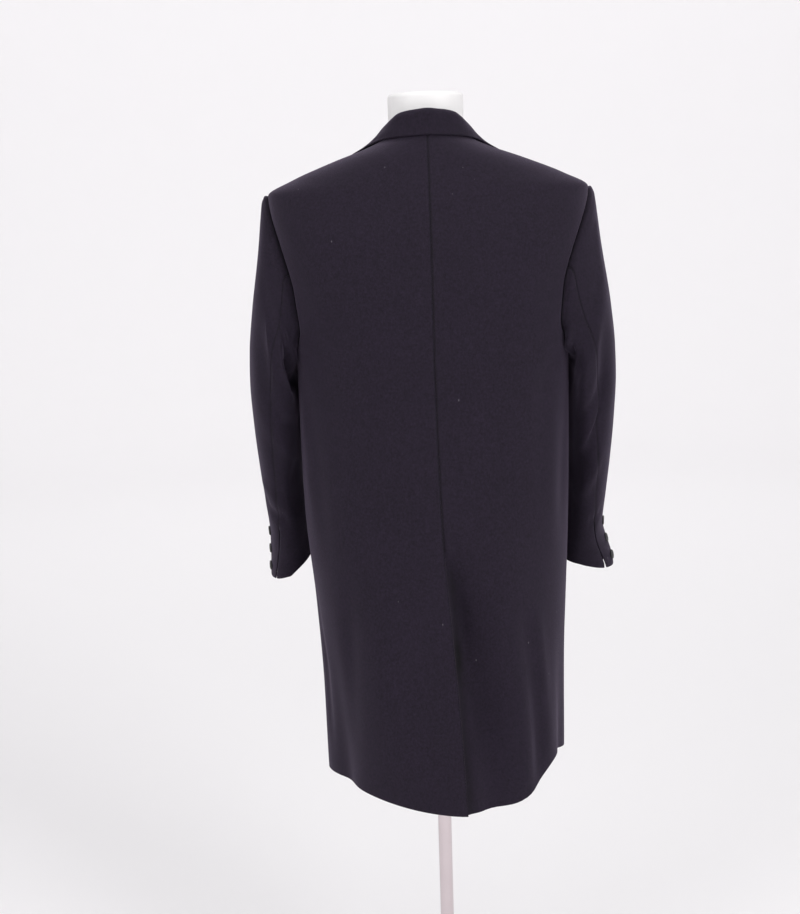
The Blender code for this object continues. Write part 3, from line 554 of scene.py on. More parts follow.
# the vent's shade entries are painted shade along its edge and painted shadow in the gape beside it
ventEdge = {"closed": (-0.045, -0.020), "shade": 0.9, "shadeWide": 0.0014, "curl": 0.0120, "curlWide": 0.030,
            "curlTop": (0.850, 0.70), "curlFoot": (0.44, 0.62), "flat": (-2.0, 3.0), "gapeTurn": -1.7, "gapeWide": 1.9,
            "gapeShade": 0.95, "gapeShadeZ": (0.860, 0.83), "gapeShadow": 1.7, "gapeShadowZ": 0.715, "gapeShadowTall": 0.024, "bulge": 0.0003,
            "bulgeFade": 0.01, "crispBelow": 0.02}
bodyScale = math.radians(1.0) * 0.185  # degrees round the body to metres of cloth

# creases by side: width, height, then the line's points as turn and height above the floor
backCreases = {
    1: [
        (0.026, 0.0034, (26, 0.90), (31, 0.74), (34, 0.52)),
        (0.018, -0.0040, (46, 0.84), (50, 0.68), (53, 0.49)),
        (0.018, -0.0018, (12, 0.80), (13, 0.66), (13, 0.50)),
        (0.015, 0.0024, (72, 1.13), (69, 1.02), (66, 0.88)),
        (0.016, -0.0020, (64, 1.10), (60, 0.98), (58, 0.84)),
        (0.013, 0.0012, (66, 1.195), (54, 1.235), (40, 1.262)),
        (0.014, -0.0015, (68, 1.172), (56, 1.150), (47, 1.080)),
        (0.026, 0.0010, (8, 1.40), (14, 1.30), (13, 1.16)),
        (0.0034, -0.0024, (0.2, 0.874), (3.4, 0.869), (7.6, 0.860)),
        (0.011, -0.0030, (79, 0.80), (76, 0.66), (75, 0.50)),
    ],
    -1: [
        (0.022, 0.0024, (-24, 0.94), (-28, 0.86), (-30, 0.74)),
        (0.016, -0.0022, (-70, 1.12), (-67, 1.00), (-63, 0.86)),
        (0.016, 0.0024, (-60, 1.12), (-57, 1.00), (-55, 0.84)),
        (0.012, 0.0013, (-63, 1.200), (-50, 1.228), (-37, 1.240)),
        (0.013, -0.0018, (-64, 1.178), (-54, 1.120), (-50, 1.030)),
        (0.025, 0.0010, (-10, 1.38), (-15, 1.27), (-13, 1.12)),
        (0.032, -0.0220, (-3, 0.90), (-6, 0.76), (-10, 0.60), (-12, 0.44)),
        (0.013, 0.0048, (-27, 0.78), (-29, 0.62), (-30, 0.46)),
        (0.011, -0.0044, (-35, 0.78), (-37, 0.62), (-37, 0.46)),
        (0.011, 0.0042, (-42, 0.78), (-43, 0.62), (-44, 0.47)),
        (0.006, -0.0014, (-32, 0.694), (-29, 0.684), (-25, 0.688)),
        (0.006, -0.0012, (-33, 0.664), (-29, 0.656), (-26, 0.662)),
        (0.009, -0.0024, (-77, 0.82), (-75, 0.68), (-75, 0.50)),
    ],
}
frontCreases = {
    1: [
        (0.015, 0.0022, (108, 1.15), (117, 1.06), (122, 0.92)),
        (0.014, -0.0022, (100, 1.12), (106, 0.98), (108, 0.84)),
        (0.018, 0.0028, (128, 0.86), (130, 0.70), (131, 0.52)),
        (0.016, 0.0024, (150, 0.84), (152, 0.68), (152, 0.51)),
        (0.013, -0.0028, (104, 0.80), (104, 0.66), (104, 0.51)),
        (0.013, 0.0014, (112, 1.24), (124, 1.20), (138, 1.13)),
    ],
    -1: [
        (0.015, 0.0022, (-110, 1.15), (-118, 1.05), (-121, 0.90)),
        (0.014, -0.0022, (-101, 1.11), (-107, 0.98), (-110, 0.82)),
        (0.016, -0.0026, (-124, 0.86), (-124, 0.70), (-123, 0.52)),
        (0.015, 0.0022, (-147, 0.84), (-148, 0.68), (-149, 0.51)),
        (0.013, 0.0026, (-100, 0.80), (-99, 0.66), (-98, 0.51)),
        (0.013, 0.0014, (-113, 1.23), (-125, 1.19), (-139, 1.12)),
    ],
}


def gapTurn(z):
    return np.degrees(cloth["seamGap"] / 2 / coatBody["halfWidth"](z))


def frontEdgeX(z):
    lap, gorge, neck = -panelCut["frontLap"], panelCut["gorgeX"], panelCut["neckX"]
    return np.interp(z, [heights["breakLine"], heights["gorge"], heights["neck"]], [lap, gorge, neck])


def panelRows(side, back):
    hem = heights["hem"]
    first = hem + np.array(panelCut["hemRows"])
    skirt = np.arange(hem + panelCut["skirtFrom"], armholeLine["z"](180) - panelCut["skirtShort"], panelCut["rowStep"])
    ways = np.arange(180.0, -0.01, -panelCut["armholeStep"])
    holeZ, holeTurn = armholeAt(side, ways if back else 360 - ways)
    top = np.linspace(heights["shoulder"], heights["neck"], panelCut["shoulderRows"])[1:]
    z = np.concatenate([first, skirt, holeZ, top])
    seam = np.full(len(first) + len(skirt), panelCut["sideSeam"])
    outer = np.concatenate([seam, holeTurn, np.full(len(top), 90.0)])
    return z, outer + (-1 if back else 1) * gapTurn(z)


def backPoint(side, turn, z):
    sink = softStep(z, *panelCut["ventSinkZ"]) * softStep(turn, *panelCut["ventSinkTurn"])
    drop = -cloth["lapDrop"] * sink if side < 0 else 0.0
    return bodyPoint(turn, z + neckLift(turn, z) + hemLift(turn, z), drop)


def frontPoint(side, turn, z):
    sink = softStep(-turn, *panelCut["lapSinkTurn"]) * softStep(z, *panelCut["lapSinkZ"])
    drop = -cloth["lapDrop"] * sink if side < 0 else 0.0
    return bodyPoint(turn, z + hemLift(turn, z), drop)


def panelGrid(side, z, first, last):
    turn = side * (first[:, None] + (last - first)[:, None] * spread(panelCut["columns"])[None, :])
    return turn, np.repeat(z[:, None], turn.shape[1], axis=1)


def panelLift(turn, height, table):
    u = turn * bodyScale
    return creaseLift(u, height, creasesAt(table, bodyScale)) + wander(u, height, panelSewing["wander"])


def makeBack(side, name):
    z, outer = panelRows(side, True)
    vent, inner = heights["vent"], gapTurn(z)
    if side < 0:
        inner = inner - panelCut["underlap"] * np.clip((vent - z) / (vent - heights["ventCorner"]), 0, 1)
    turn, height = panelGrid(side, z, inner, outer)
    base = backPoint(side, turn, height)
    room = edgeRoom(base)
    still = panelSewing["still"]
    lift = panelLift(turn, height, backCreases[side])
    lift *= softStep(room["last"], 0.0, still) * softStep(room["high"], 0.0, panelSewing["stillTop"])
    sewn = softStep(height, *(vent + end for end in ventEdge["closed"]))
    lift *= 1 - sewn * (1 - softStep(room["first"], 0.0, still))
    lift += seamDip(room["last"]) * softStep(height, *panelSewing["dipZ"]) + seamDip(room["first"]) * sewn
    # painted shade along the sewn seams
    shade = seamShade(room["last"]) + seamShade(room["first"]) * sewn
    crispRows = 0
    if side > 0:  # the vent's edge is pressed, gets a painted shade along it and curls out a little as it hangs
        crispRows = int((z < vent - ventEdge["crispBelow"]).sum())
        shade = shade + ventEdge["shade"] * seamShade(room["first"], ventEdge["shadeWide"]) * (1 - sewn)
        curl = ventEdge["curl"] * np.exp(-(room["first"] / ventEdge["curlWide"]) ** 2)
        lift += curl * softStep(height, *ventEdge["curlTop"]) * softStep(height, *ventEdge["curlFoot"])
    else:  # the underlap lies flat, and where the other edge gapes it gets a painted shadow
        lift = lift * softStep(-turn, *ventEdge["flat"])
        gape = np.exp(-((turn - ventEdge["gapeTurn"]) / ventEdge["gapeWide"]) ** 2)
        gapeShadow = ventEdge["gapeShadow"] * np.exp(-((height - ventEdge["gapeShadowZ"]) / ventEdge["gapeShadowTall"]) ** 2)
        shade = shade + gape * (ventEdge["gapeShade"] * softStep(height, *ventEdge["gapeShadeZ"]) + gapeShadow)
    outerFace = base + gridNormals(base, side) * lift[..., None]
    free = ventEdge["bulge"] * softStep(z, vent, vent - ventEdge["bulgeFade"])
    bulge = {"low": panelSewing["edgeBulge"], "high": 0.0, "first": free, "last": panelSewing["seamBulge"]}
    return clothObject(name, outerFace, side, cloth["wall"], bulge, wool, shade, crispRows)


def makeFront(side, name):
    z, outer = panelRows(side, False)
    turn, height = panelGrid(side, z, outer, frontTurn(side, frontEdgeX(z), z))
    base = frontPoint(side, turn, height)
    room = edgeRoom(base)
    lift = panelLift(turn, height, frontCreases[side])
    lift *= softStep(room["first"], 0.0, panelSewing["still"]) * softStep(room["last"], *panelSewing["stillFront"])
    lift += seamDip(room["first"]) * softStep(height, *panelSewing["dipZ"])
    # painted shade along the side seam and armhole
    shade = seamShade(room["first"])
    outerFace = base + gridNormals(base, side) * lift[..., None]
    edge = panelSewing["edgeBulge"]
    free = edge * softStep(z, heights["breakLine"] + panelSewing["breakFade"], heights["breakLine"])
    bulge = {"low": edge, "high": 0.0, "first": panelSewing["seamBulge"], "last": free}
    return clothObject(name, outerFace, side, cloth["wall"], bulge, wool, shade)


# lapels
lapelCut = {"corner": (0.148, 1.345), "belly": 0.014, "rows": 54, "tight": 0.6, "topGap": 0.0020, "parts": 6,
            "start": {1: 0.05, -1: 0.377}, "tipStart": {1: 0.05, -1: 0.235},
            "bulge": {"low": 0.0006, "high": 0.0004, "first": 0.0, "last": 0.0010}}
lapelRoll = [  # how far ahead of the front's edge, share of the lapel's width, how far off the front
    (0.0046, 0.0, 0.0004),
    (0.0030, 0.0, 0.0052),
    (0.0, 0.035, 0.0082),
    (0.0, 0.22, 0.0086),
    (0.0, 0.42, 0.0076),
    (0.0, 0.62, 0.0060),
    (0.0, 0.82, 0.0046),
    (0.0, 1.0, 0.0033),
]


def makeLapel(side, name):
    start, tipStart = lapelCut["start"][side], lapelCut["tipStart"][side]
    rows = spread(lapelCut["rows"], lapelCut["tight"])
    rise, tipRise = start + (1 - start) * rows, tipStart + (1 - tipStart) * rows
    tall = heights["gorge"] - heights["breakLine"]
    lap = panelCut["frontLap"]
    rollZ = heights["breakLine"] + tall * rise - lapelCut["topGap"]
    rollX = frontEdgeX(rollZ)
    tipX = -lap + (lapelCut["corner"][0] + lap) * tipRise + lapelCut["belly"] * np.sin(np.pi * tipRise)
    tipZ = heights["breakLine"] + (lapelCut["corner"][1] - heights["breakLine"]) * tipRise - lapelCut["topGap"]
    lines = []
    for ahead, share, out in lapelRoll:
        x = rollX - ahead + (tipX - rollX) * share
        z = rollZ + (tipZ - rollZ) * share
        lines.append(overBody(side * frontTurn(side, x, z), z, out))
    grid = throughPoints(np.stack(lines, axis=1), lapelCut["parts"])
    return clothObject(name, grid, -side, cloth["wall"], lapelCut["bulge"], wool)


# collar
collarLine = columnsOf("way seamZ foldR foldZ roll edgeTurn edgeZ turned notch", [
    (0.0, 1.4920, 0.0745, 1.5195, 0.0062, 0.0, 1.4800, 0.0, 0.0),
    (30.0, 1.4900, 0.0715, 1.5155, 0.0062, 30.0, 1.4780, 0.0, 0.0),
    (60.0, 1.4825, 0.0660, 1.5020, 0.0062, 61.0, 1.4745, 0.0, 0.0),
    (90.0, 1.4724, 0.0690, 1.4900, 0.0064, 91.0, 1.4675, 0.0, 0.0),
    (108.0, 1.4724, 0.0690, 1.4890, 0.0080, 102.0, 1.4570, 0.02, 0.0),
    (122.5, 1.4728, 0.0730, 1.4870, 0.0095, 110.0, 1.4420, 0.55, 0.05),
    (134.0, 1.4525, 0.0830, 1.4700, 0.0095, 114.0, 1.4220, 1.0, 0.40),
    (138.5, 1.4330, 0.0915, 1.4470, 0.0060, 116.5, 1.4020, 1.0, 1.0),
])
collarCut = {"seamRise": 0.0008, "standMiddle": 0.55, "foldOut": 0.85, "foldDown": 0.80, "lift": 0.0038,
             "belly": 0.0092, "fall": (0.07, 0.28, 0.5, 0.75, 1.0), "gorgeWay": 130.0, "notchShare": 0.62,
             "between": 4, "parts": 5, "evening": 3,
             "bulge": {"low": 0.0006, "high": 0.0006, "first": 0.0, "last": 0.0010}}
collarWays = (0, 12, 24, 36, 48, 60, 72, 82, 92, 102, 110, 117, 123, 129, 134, 138.5)
collarRoll = [(0.0054, -0.0012), (0.0061, 0.0014), (0.0057, 0.0042), (0.0042, 0.0070), (0.0014, 0.0088)]


def collarSection(way):
    at = {name: float(collarLine[name](way)) for name in collarLine}
    outward = np.array([math.sin(math.radians(way)), math.cos(math.radians(way)), 0.0])
    up = np.array([0.0, 0.0, 1.0])
    seam = bodyPoint(way, at["seamZ"], -cloth["collarWall"]) + up * collarCut["seamRise"]
    crest = outward * at["foldR"] + up * at["foldZ"]
    inside = crest - outward * at["roll"] * collarCut["foldOut"] - up * at["roll"] * collarCut["foldDown"]
    outside = crest + outward * at["roll"] * collarCut["foldOut"] - up * at["roll"] * collarCut["foldDown"]
    notchX = panelCut["gorgeX"] + (lapelCut["corner"][0] - panelCut["gorgeX"]) * collarCut["notchShare"]
    notchZ = heights["gorge"] + (lapelCut["corner"][1] - heights["gorge"]) * collarCut["notchShare"]
    middleTurn, middleZ = (way + at["edgeTurn"]) / 2, (at["seamZ"] + at["edgeZ"]) / 2
    middleTurn += (float(frontTurn(1, notchX, notchZ)) - middleTurn) * at["notch"]
    middleZ += (notchZ - middleZ) * at["notch"]
    knots = [(way, at["seamZ"]), (middleTurn, middleZ), (at["edgeTurn"], at["edgeZ"])]
    fall = []
    for share in collarCut["fall"]:
        first, second = knots[:2] if share < 0.5 else knots[1:]
        part = share * 2 if share < 0.5 else share * 2 - 1
        turn = first[0] + (second[0] - first[0]) * part
        z = first[1] + (second[1] - first[1]) * part
        if way > collarCut["gorgeWay"]:
            ends = [bodyPoint(*knot)[0] for knot in (first, second)]
            turn = float(frontTurn(1, ends[0] + (ends[1] - ends[0]) * part, z))
        fall.append(overBody(turn, z, collarCut["belly"] + (collarCut["lift"] - collarCut["belly"]) * share))
    fold = [seam, seam + (inside - seam) * collarCut["standMiddle"], inside, crest, outside]
    if at["turned"] > 0:
        frontX = float(frontEdgeX(at["seamZ"]))
        for i, (ahead, out) in enumerate(collarRoll):
            rolled = overBody(float(frontTurn(1, frontX - ahead, at["seamZ"])), at["seamZ"], out)
            fold[i] = fold[i] + (rolled - fold[i]) * at["turned"]
    section = np.array(fold + fall)
    for _ in range(collarCut["evening"]):  # takes the ripple out of the fall
        section[5:-1] = section[4:-2] * 0.25 + section[5:-1] * 0.5 + section[6:] * 0.25
    return section


def makeCollar(name):
    left = np.array([collarSection(way) for way in collarWays])
    right = left[:0:-1] * np.array([-1.0, 1.0, 1.0])
    grid = np.concatenate([right, left])
    grid = throughPoints(grid, collarCut["parts"])
    grid = throughPoints(grid.transpose(1, 0, 2), collarCut["between"]).transpose(1, 0, 2)
    return clothObject(name, grid, 1, cloth["collarWall"], collarCut["bulge"], wool)


# sleeves
sleeveRings = columnsOf("share outerX outerZ innerX innerZ midY depth frontRise", [
    (0.015, 0.2505, 1.4040, 0.2130, 1.1610, 0.009, 0.0840, 0.000),
    (0.040, 0.2570, 1.3930, 0.2145, 1.1530, 0.010, 0.0860, 0.000),
    (0.090, 0.2610, 1.3640, 0.2145, 1.1400, 0.009, 0.0865, 0.000),
    (0.190, 0.2670, 1.2950, 0.2135, 1.1100, 0.007, 0.0860, 0.000),
    (0.290, 0.2750, 1.2300, 0.2125, 1.0800, 0.003, 0.0850, 0.004),
    (0.390, 0.2825, 1.1680, 0.2125, 1.0480, -0.004, 0.0830, 0.007),
    (0.480, 0.2850, 1.1120, 0.2125, 1.0160, -0.012, 0.0805, 0.010),
    (0.570, 0.2830, 1.0540, 0.2120, 0.9820, -0.022, 0.0780, 0.013),
    (0.660, 0.2790, 0.9940, 0.2100, 0.9440, -0.034, 0.0750, 0.016),
    (0.760, 0.2735, 0.9320, 0.2070, 0.9000, -0.047, 0.0715, 0.017),
    (0.850, 0.2690, 0.8760, 0.2050, 0.8620, -0.058, 0.0680, 0.015),
    (0.930, 0.2690, 0.8340, 0.2020, 0.8360, -0.066, 0.0650, 0.012),
    (1.000, 0.2700, 0.7970, 0.2000, 0.8080, -0.071, 0.0630, 0.010),
])
hindSeam = columnsOf("share turn", [
    (0.00, 75.0),
    (0.20, 90.0),
    (0.45, 89.0),
    (0.70, 79.0),
    (0.86, 63.0),
    (1.00, 47.0),
])
dragFolds = [  # turn, share, degrees across, share along, height, slant
    (62.0, 0.24, 26.0, 0.050, 0.0050, 200.0),
    (100.0, 0.40, 36.0, 0.045, -0.0060, 160.0),
    (112.0, 0.50, 40.0, 0.040, 0.0050, 120.0),
    (250.0, 0.52, 40.0, 0.045, -0.0060, -120.0),
]
sleeveCut = {"frontSeam": -120.0, "square": 2.3, "half": 0.035, "firstRing": 0.015, "headEnd": 0.30,
             "armholeMiddle": (0.2262, 1.2825), "topColumns": 64, "underColumns": 56, "headRows": (0, 0.04, 11),
             "armRows": (0.046, 0.978, 132), "cuffRows": (0.985, 0.990, 0.994, 0.997, 1.0),
             "hug": 0.86, "hugTurn": (0.35, 0.9), "hugWay": (0.18, 0.03), "roping": 0.0008, "ropeFrom": (0.0, 0.012),
             "ropeTo": (0.16, 0.03), "capEase": 0.0034, "capTurn": 84.0, "capWide": 34.0, "capFrom": (0.0, 0.03),
             "capTo": (0.20, 0.05), "wander": 0.0009, "stillHead": 0.022, "stillCuff": 0.02, "headDip": (0.95, 0.6),
             "headShade": 0.0022}
cuffCut = {"slit": 0.0045, "slitTop": 0.84, "slitFoot": 0.0050, "footTop": 0.955, "sewnFade": 0.01, "lapUnder": 0.010,
           "lapFrom": (-0.005, 0.03), "lapSink": 0.0038, "sinkFrom": (-0.05, -0.012), "sinkWide": 4.0, "bulge": 0.0009,
           "bulgeFade": 0.03, "flare": {1: 0.002, -1: 0.019}, "flareTurn": 18.0, "flareWidth": 42.0,
           "tilt": {1: 0.030, -1: 0.008}, "tiltTop": 0.70, "backRise": {1: 0.007, -1: 0.009}, "backTurn": 92.0,
           "backTop": 0.86}
ringScale, armLength = math.radians(1.0) * 0.074, 0.62  # degrees and shares to metres of cloth

# creases by side: width, height, then the line's points as turn and share of the sleeve
sleeveCreases = {
    1: [
        (0.021, -0.0170, (180, 0.140), (156, 0.156), (130, 0.166), (108, 0.166)),
        (0.013, 0.0072, (166, 0.056), (128, 0.096), (90, 0.152), (108, 0.216), (150, 0.280)),
        (0.018, 0.0040, (174, 0.330), (136, 0.350), (104, 0.400), (84, 0.470)),
        (0.028, -0.0074, (70, 0.060), (60, 0.140), (56, 0.230), (64, 0.320), (88, 0.390)),
        (0.012, -0.0046, (20, 0.735), (58, 0.760), (104, 0.750)),
        (0.014, 0.0022, (30, 0.690), (62, 0.705), (100, 0.700)),
        (0.016, -0.0040, (152, 0.520), (132, 0.620), (128, 0.740)),
        (0.026, 0.0046, (206, 0.08), (208, 0.24), (208, 0.44), (206, 0.70)),
        (0.026, 0.0042, (196, -0.04), (197, 0.14), (198, 0.34)),
        (0.017, -0.0042, (-20, 0.38), (-50, 0.44), (-84, 0.47), (-112, 0.45)),
        (0.017, 0.0032, (-30, 0.30), (-64, 0.35), (-104, 0.36)),
        (0.015, 0.0030, (-40, 0.56), (-74, 0.60), (-108, 0.59)),
    ],
    -1: [
        (0.012, -0.0090, (178, 0.080), (150, 0.104), (122, 0.128)),
        (0.013, 0.0056, (172, 0.044), (144, 0.064), (112, 0.090)),
        (0.027, -0.0066, (62, 0.16), (66, 0.28), (72, 0.40), (94, 0.500), (124, 0.575), (152, 0.635)),
        (0.020, 0.0046, (72, 0.590), (98, 0.650), (134, 0.710)),
        (0.009, 0.0022, (30, 0.080), (38, 0.150), (47, 0.225)),
        (0.024, 0.0064, (112, 0.180), (118, 0.320), (120, 0.470)),
        (0.011, -0.0022, (50, 0.780), (66, 0.800), (92, 0.795)),
        (0.026, 0.0046, (206, 0.08), (208, 0.24), (208, 0.44), (206, 0.70)),
        (0.026, 0.0042, (196, -0.04), (197, 0.14), (198, 0.34)),
        (0.017, -0.0042, (-20, 0.40), (-54, 0.46), (-86, 0.48), (-112, 0.46)),
        (0.017, 0.0032, (-30, 0.33), (-66, 0.38), (-104, 0.38)),
        (0.015, 0.0030, (-40, 0.58), (-76, 0.61), (-108, 0.60)),
    ],
}


def sleeveRing(turn, share):  # turn 0 outermost, 90 back, 180 next to the body
    at = {name: sleeveRings[name](share) for name in sleeveRings}
    cosine, sine = np.cos(np.radians(turn)), np.sin(np.radians(turn))
    square = sleeveCut["square"]
    size = (np.abs(cosine) ** square + np.abs(sine) ** square) ** (-1 / square)
    away = np.zeros(np.broadcast(turn, share).shape)
    for foldTurn, foldShare, across, along, height, slant in dragFolds:
        off = (turn - foldTurn - slant * (share - foldShare) + 180) % 360 - 180
        away = away + height * np.exp(-(off / across) ** 2) * np.exp(-((share - foldShare) / along) ** 2)
    acrossX, acrossZ = (at["outerX"] - at["innerX"]) / 2, (at["outerZ"] - at["innerZ"]) / 2
    length = np.hypot(acrossX, acrossZ)
    reach = cosine * size + away * cosine / length
    x = (at["outerX"] + at["innerX"]) / 2 + acrossX * reach
    z = (at["outerZ"] + at["innerZ"]) / 2 + acrossZ * reach - at["frontRise"] * sine * size
    return np.stack([x, at["midY"] + (at["depth"] * size + away) * sine, z], axis=-1)


def cuffOpen(share):
    return softStep(share, cuffCut["slitTop"], 1.0)


def sleevePoint(side, turn, share):
    turn, share = np.broadcast_arrays(np.asarray(turn, float), np.asarray(share, float))
    point = sleeveRing(turn, share)
    near = np.exp(-((turn - cuffCut["flareTurn"]) / cuffCut["flareWidth"]) ** 2)
    point[..., 0] += cuffCut["flare"][side] * near * cuffOpen(share)
    inward = np.maximum(-np.cos(np.radians(turn)), 0.0)
    point[..., 2] += cuffCut["tilt"][side] * inward * softStep(share, cuffCut["tiltTop"], 1.0)
    toBack = np.exp(-((turn - cuffCut["backTurn"]) / cuffCut["flareWidth"]) ** 2)
    point[..., 2] += cuffCut["backRise"][side] * toBack * softStep(share, cuffCut["backTop"], 1.0)
    holeZ, holeTurn = armholeAt(side, turn % 360)
    seam = bodyPoint(side * holeTurn, holeZ) * np.array([side, 1.0, 1.0]) + np.array([cloth["seamGap"], 0.0, 0.0])
    middleX = (sleeveRings["outerX"](share) + sleeveRings["innerX"](share)) / 2 - sleeveCut["armholeMiddle"][0]
    middleZ = (sleeveRings["outerZ"](share) + sleeveRings["innerZ"](share)) / 2 - sleeveCut["armholeMiddle"][1]
    start = np.minimum(share / sleeveCut["firstRing"], 1.0)
    hug = softStep(-np.cos(np.radians(turn)), *sleeveCut["hugTurn"]) * softStep(share, *sleeveCut["hugWay"])
    outX = middleX * start * (1 - sleeveCut["hug"] * hug)
    moved = seam + np.stack([outX, np.zeros_like(start), middleZ * start], axis=-1)
    blend = softStep(share, 0.0, sleeveCut["headEnd"])[..., None]
    point = np.where((share < sleeveCut["headEnd"])[..., None], moved + (point - moved) * blend, point)
    point[..., 0] *= side
    return point


def makeSleevePiece(side, top, name):
    slitTop, footTop = cuffCut["slitTop"], cuffCut["footTop"]
    head, arm = np.linspace(*sleeveCut["headRows"]), np.linspace(*sleeveCut["armRows"])
    share = np.concatenate([head, arm, sleeveCut["cuffRows"]])
    around = 0.5 * math.pi * (sleeveRings["depth"](share) + sleeveCut["half"])  # a quarter of the ring
    gap = 90.0 * (cloth["seamGap"] / 2) / around
    foot = cuffCut["slitFoot"] * softStep(share, footTop, 1.0)
    slit = 90.0 * (cuffCut["slit"] * cuffOpen(share) + foot) / 2 / around
    hind = hindSeam["turn"](share)
    lap = softStep(share, *(slitTop + off for off in cuffCut["lapFrom"])) * softStep(share, 1.0, footTop)
    lapUnder = 90.0 * cuffCut["lapUnder"] * lap / around
    start = sleeveCut["frontSeam"] + gap if top else hind + gap + slit - lapUnder
    end = hind - gap - slit if top else sleeveCut["frontSeam"] + 360.0 - gap
    columns = spread(sleeveCut["topColumns" if top else "underColumns"])
    turn = start[:, None] + (end - start)[:, None] * columns[None, :]
    way = np.repeat(share[:, None], turn.shape[1], axis=1)
    base = sleevePoint(side, turn, way)
    room = edgeRoom(base)
    cosine = np.cos(np.radians(turn))
    creases = creasesAt(sleeveCreases[side], ringScale, armLength)
    lift = wander(turn * ringScale, way * armLength, sleeveCut["wander"])
    for wholeTurn in (-360.0, 0.0, 360.0):  # a crease may run on past the ring's ends
        lift = lift + creaseLift((turn + wholeTurn) * ringScale, way * armLength, creases)
    lift *= softStep(room["low"], 0.0, sleeveCut["stillHead"]) * softStep(room["high"], 0.0, sleeveCut["stillCuff"])
    rope = softStep(way, *sleeveCut["ropeFrom"]) * softStep(way, *sleeveCut["ropeTo"])
    lift += sleeveCut["roping"] * np.maximum(cosine, 0.0) * rope
    capTurn, capWide = sleeveCut["capTurn"], sleeveCut["capWide"]
    cap = np.exp(-((turn - capTurn) / capWide) ** 2) + np.exp(-((turn + capTurn) / capWide) ** 2)
    lift += sleeveCut["capEase"] * cap * softStep(way, *sleeveCut["capFrom"]) * softStep(way, *sleeveCut["capTo"])
    if not top:  # under the slit the lower half runs on below the upper one
        edge = (hind - slit)[:, None]
        sink = softStep(way, *(slitTop + off for off in cuffCut["sinkFrom"]))
        lift -= cuffCut["lapSink"] * softStep(turn, edge + cuffCut["sinkWide"], edge) * sink
    slitSide, otherSide = ("last", "first") if top else ("first", "last")
    sewn = softStep(way, slitTop + cuffCut["sewnFade"], slitTop - cuffCut["sewnFade"])
    lift += seamDip(room["low"]) * softStep(cosine, *sleeveCut["headDip"])
    lift += seamDip(room[otherSide]) + seamDip(room[slitSide]) * sewn
    # painted shade along the armhole and the sleeve's seams
    shade = seamShade(room["low"], sleeveCut["headShade"]) + seamShade(room[otherSide])
    shade = shade + seamShade(room[slitSide]) * sewn
    outerFace = base + gridNormals(base, side) * lift[..., None]
    bulge = {"low": 0.0, "high": cuffCut["bulge"], "first": 0.0, "last": 0.0}
    bulge[slitSide] = cuffCut["bulge"] * softStep(share, slitTop, slitTop + cuffCut["bulgeFade"])
    return clothObject(name, outerFace, side, cloth["wall"], bulge, wool, shade)


coatCut = {  # maker and side, solid, width, length and flat area of the cut, and what holds it
    "coatBackLeft": (makeBack, (1,), "back_left", 0.31, 1.04, 0.281, "hung"),
    "coatBackRight": (makeBack, (-1,), "back_right", 0.34, 1.04, 0.289, "hung"),
    "coatFrontLeft": (makeFront, (1,), "front_left", 0.36, 1.02, 0.295, "hung"),
    "coatFrontRight": (makeFront, (-1,), "front_right", 0.36, 1.02, 0.285, "hung"),
    "lapelLeft": (makeLapel, (1,), "lapel_left", 0.17, 0.34, 0.0245, "folded"),
    "lapelRight": (makeLapel, (-1,), "lapel_right", 0.17, 0.26, 0.0215, "folded"),
    "coatCollar": (makeCollar, (), "collar", 0.42, 0.10, 0.0300, "folded"),
    "sleeveTopLeft": (makeSleevePiece, (1, True), "sleeve_top_left", 0.24, 0.64, 0.104, "hung"),
    "sleeveTopRight": (makeSleevePiece, (-1, True), "sleeve_top_right", 0.24, 0.64, 0.106, "hung"),
    "sleeveUnderLeft": (makeSleevePiece, (1, False), "sleeve_under_left", 0.19, 0.54, 0.071, "hung"),
    "sleeveUnderRight": (makeSleevePiece, (-1, False), "sleeve_under_right", 0.19, 0.54, 0.073, "hung"),
}
faceCount = 0
for name, (make, given, node, width, length, area, held) in coatCut.items():
    piece = make(*given, name)
    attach(piece, "root")
    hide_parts(node)
    faceCount += len(piece.data.polygons)
print("coat sewn,", faceCount, "faces")

# buttons, their thread and the front buttonholes
buttonShape = {"sides": 40, "holeR": 0.075, "holeOut": 0.23, "holeSides": 14, "holeDeep": 3, "sharp": 38.0,
               "spin": 0.25, "seed": 7}
buttonSizes = {"front": (0.0140, 0.0045), "cuff": (0.0075, 0.0026)}  # radius, height
threadShape = {"thick": 0.42, "parts": 8, "sides": 6, "sit": 0.10, "arch": 2.3, "apart": 1.05}
buttonProfile = [(0.0, -0.5), (0.86, -0.5), (0.97, -0.34), (1.0, -0.02), (0.985, 0.26), (0.93, 0.44), (0.86, 0.5),
                 (0.78, 0.46), (0.70, 0.30), (0.60, 0.20), (0.40, 0.16), (0.0, 0.14)]  # radius, height


def shellMesh(name, shell):
    mesh = bpy.data.meshes.new(name)
    shell.to_mesh(mesh)
    shell.free()
    return smoothAll(mesh)


def latheMesh(name, profile, sides):
    angles = [2 * math.pi * i / sides for i in range(sides)]
    shell = bmesh.new()
    rings = []
    for r, z in profile:
        ring = [(r * math.cos(a), r * math.sin(a), z) for a in angles] if r else [(0.0, 0.0, z)]
        rings.append([shell.verts.new(p) for p in ring])
    for low, high in zip(rings, rings[1:]):
        for i in range(sides):
            j = (i + 1) % sides
            corners = [low[i % len(low)], low[j % len(low)], high[j % len(high)], high[i % len(high)]]
            shell.faces.new(list(dict.fromkeys(corners)))
    return shellMesh(name, shell)


def helper(name, mesh):  # a shape that is only copied from
    piece = addPiece(name, mesh)
    piece.hide_render = True
    return piece


def plainMesh(piece):
    depsgraph = bpy.context.evaluated_depsgraph_get()
    return bpy.data.meshes.new_from_object(piece.evaluated_get(depsgraph), depsgraph=depsgraph)


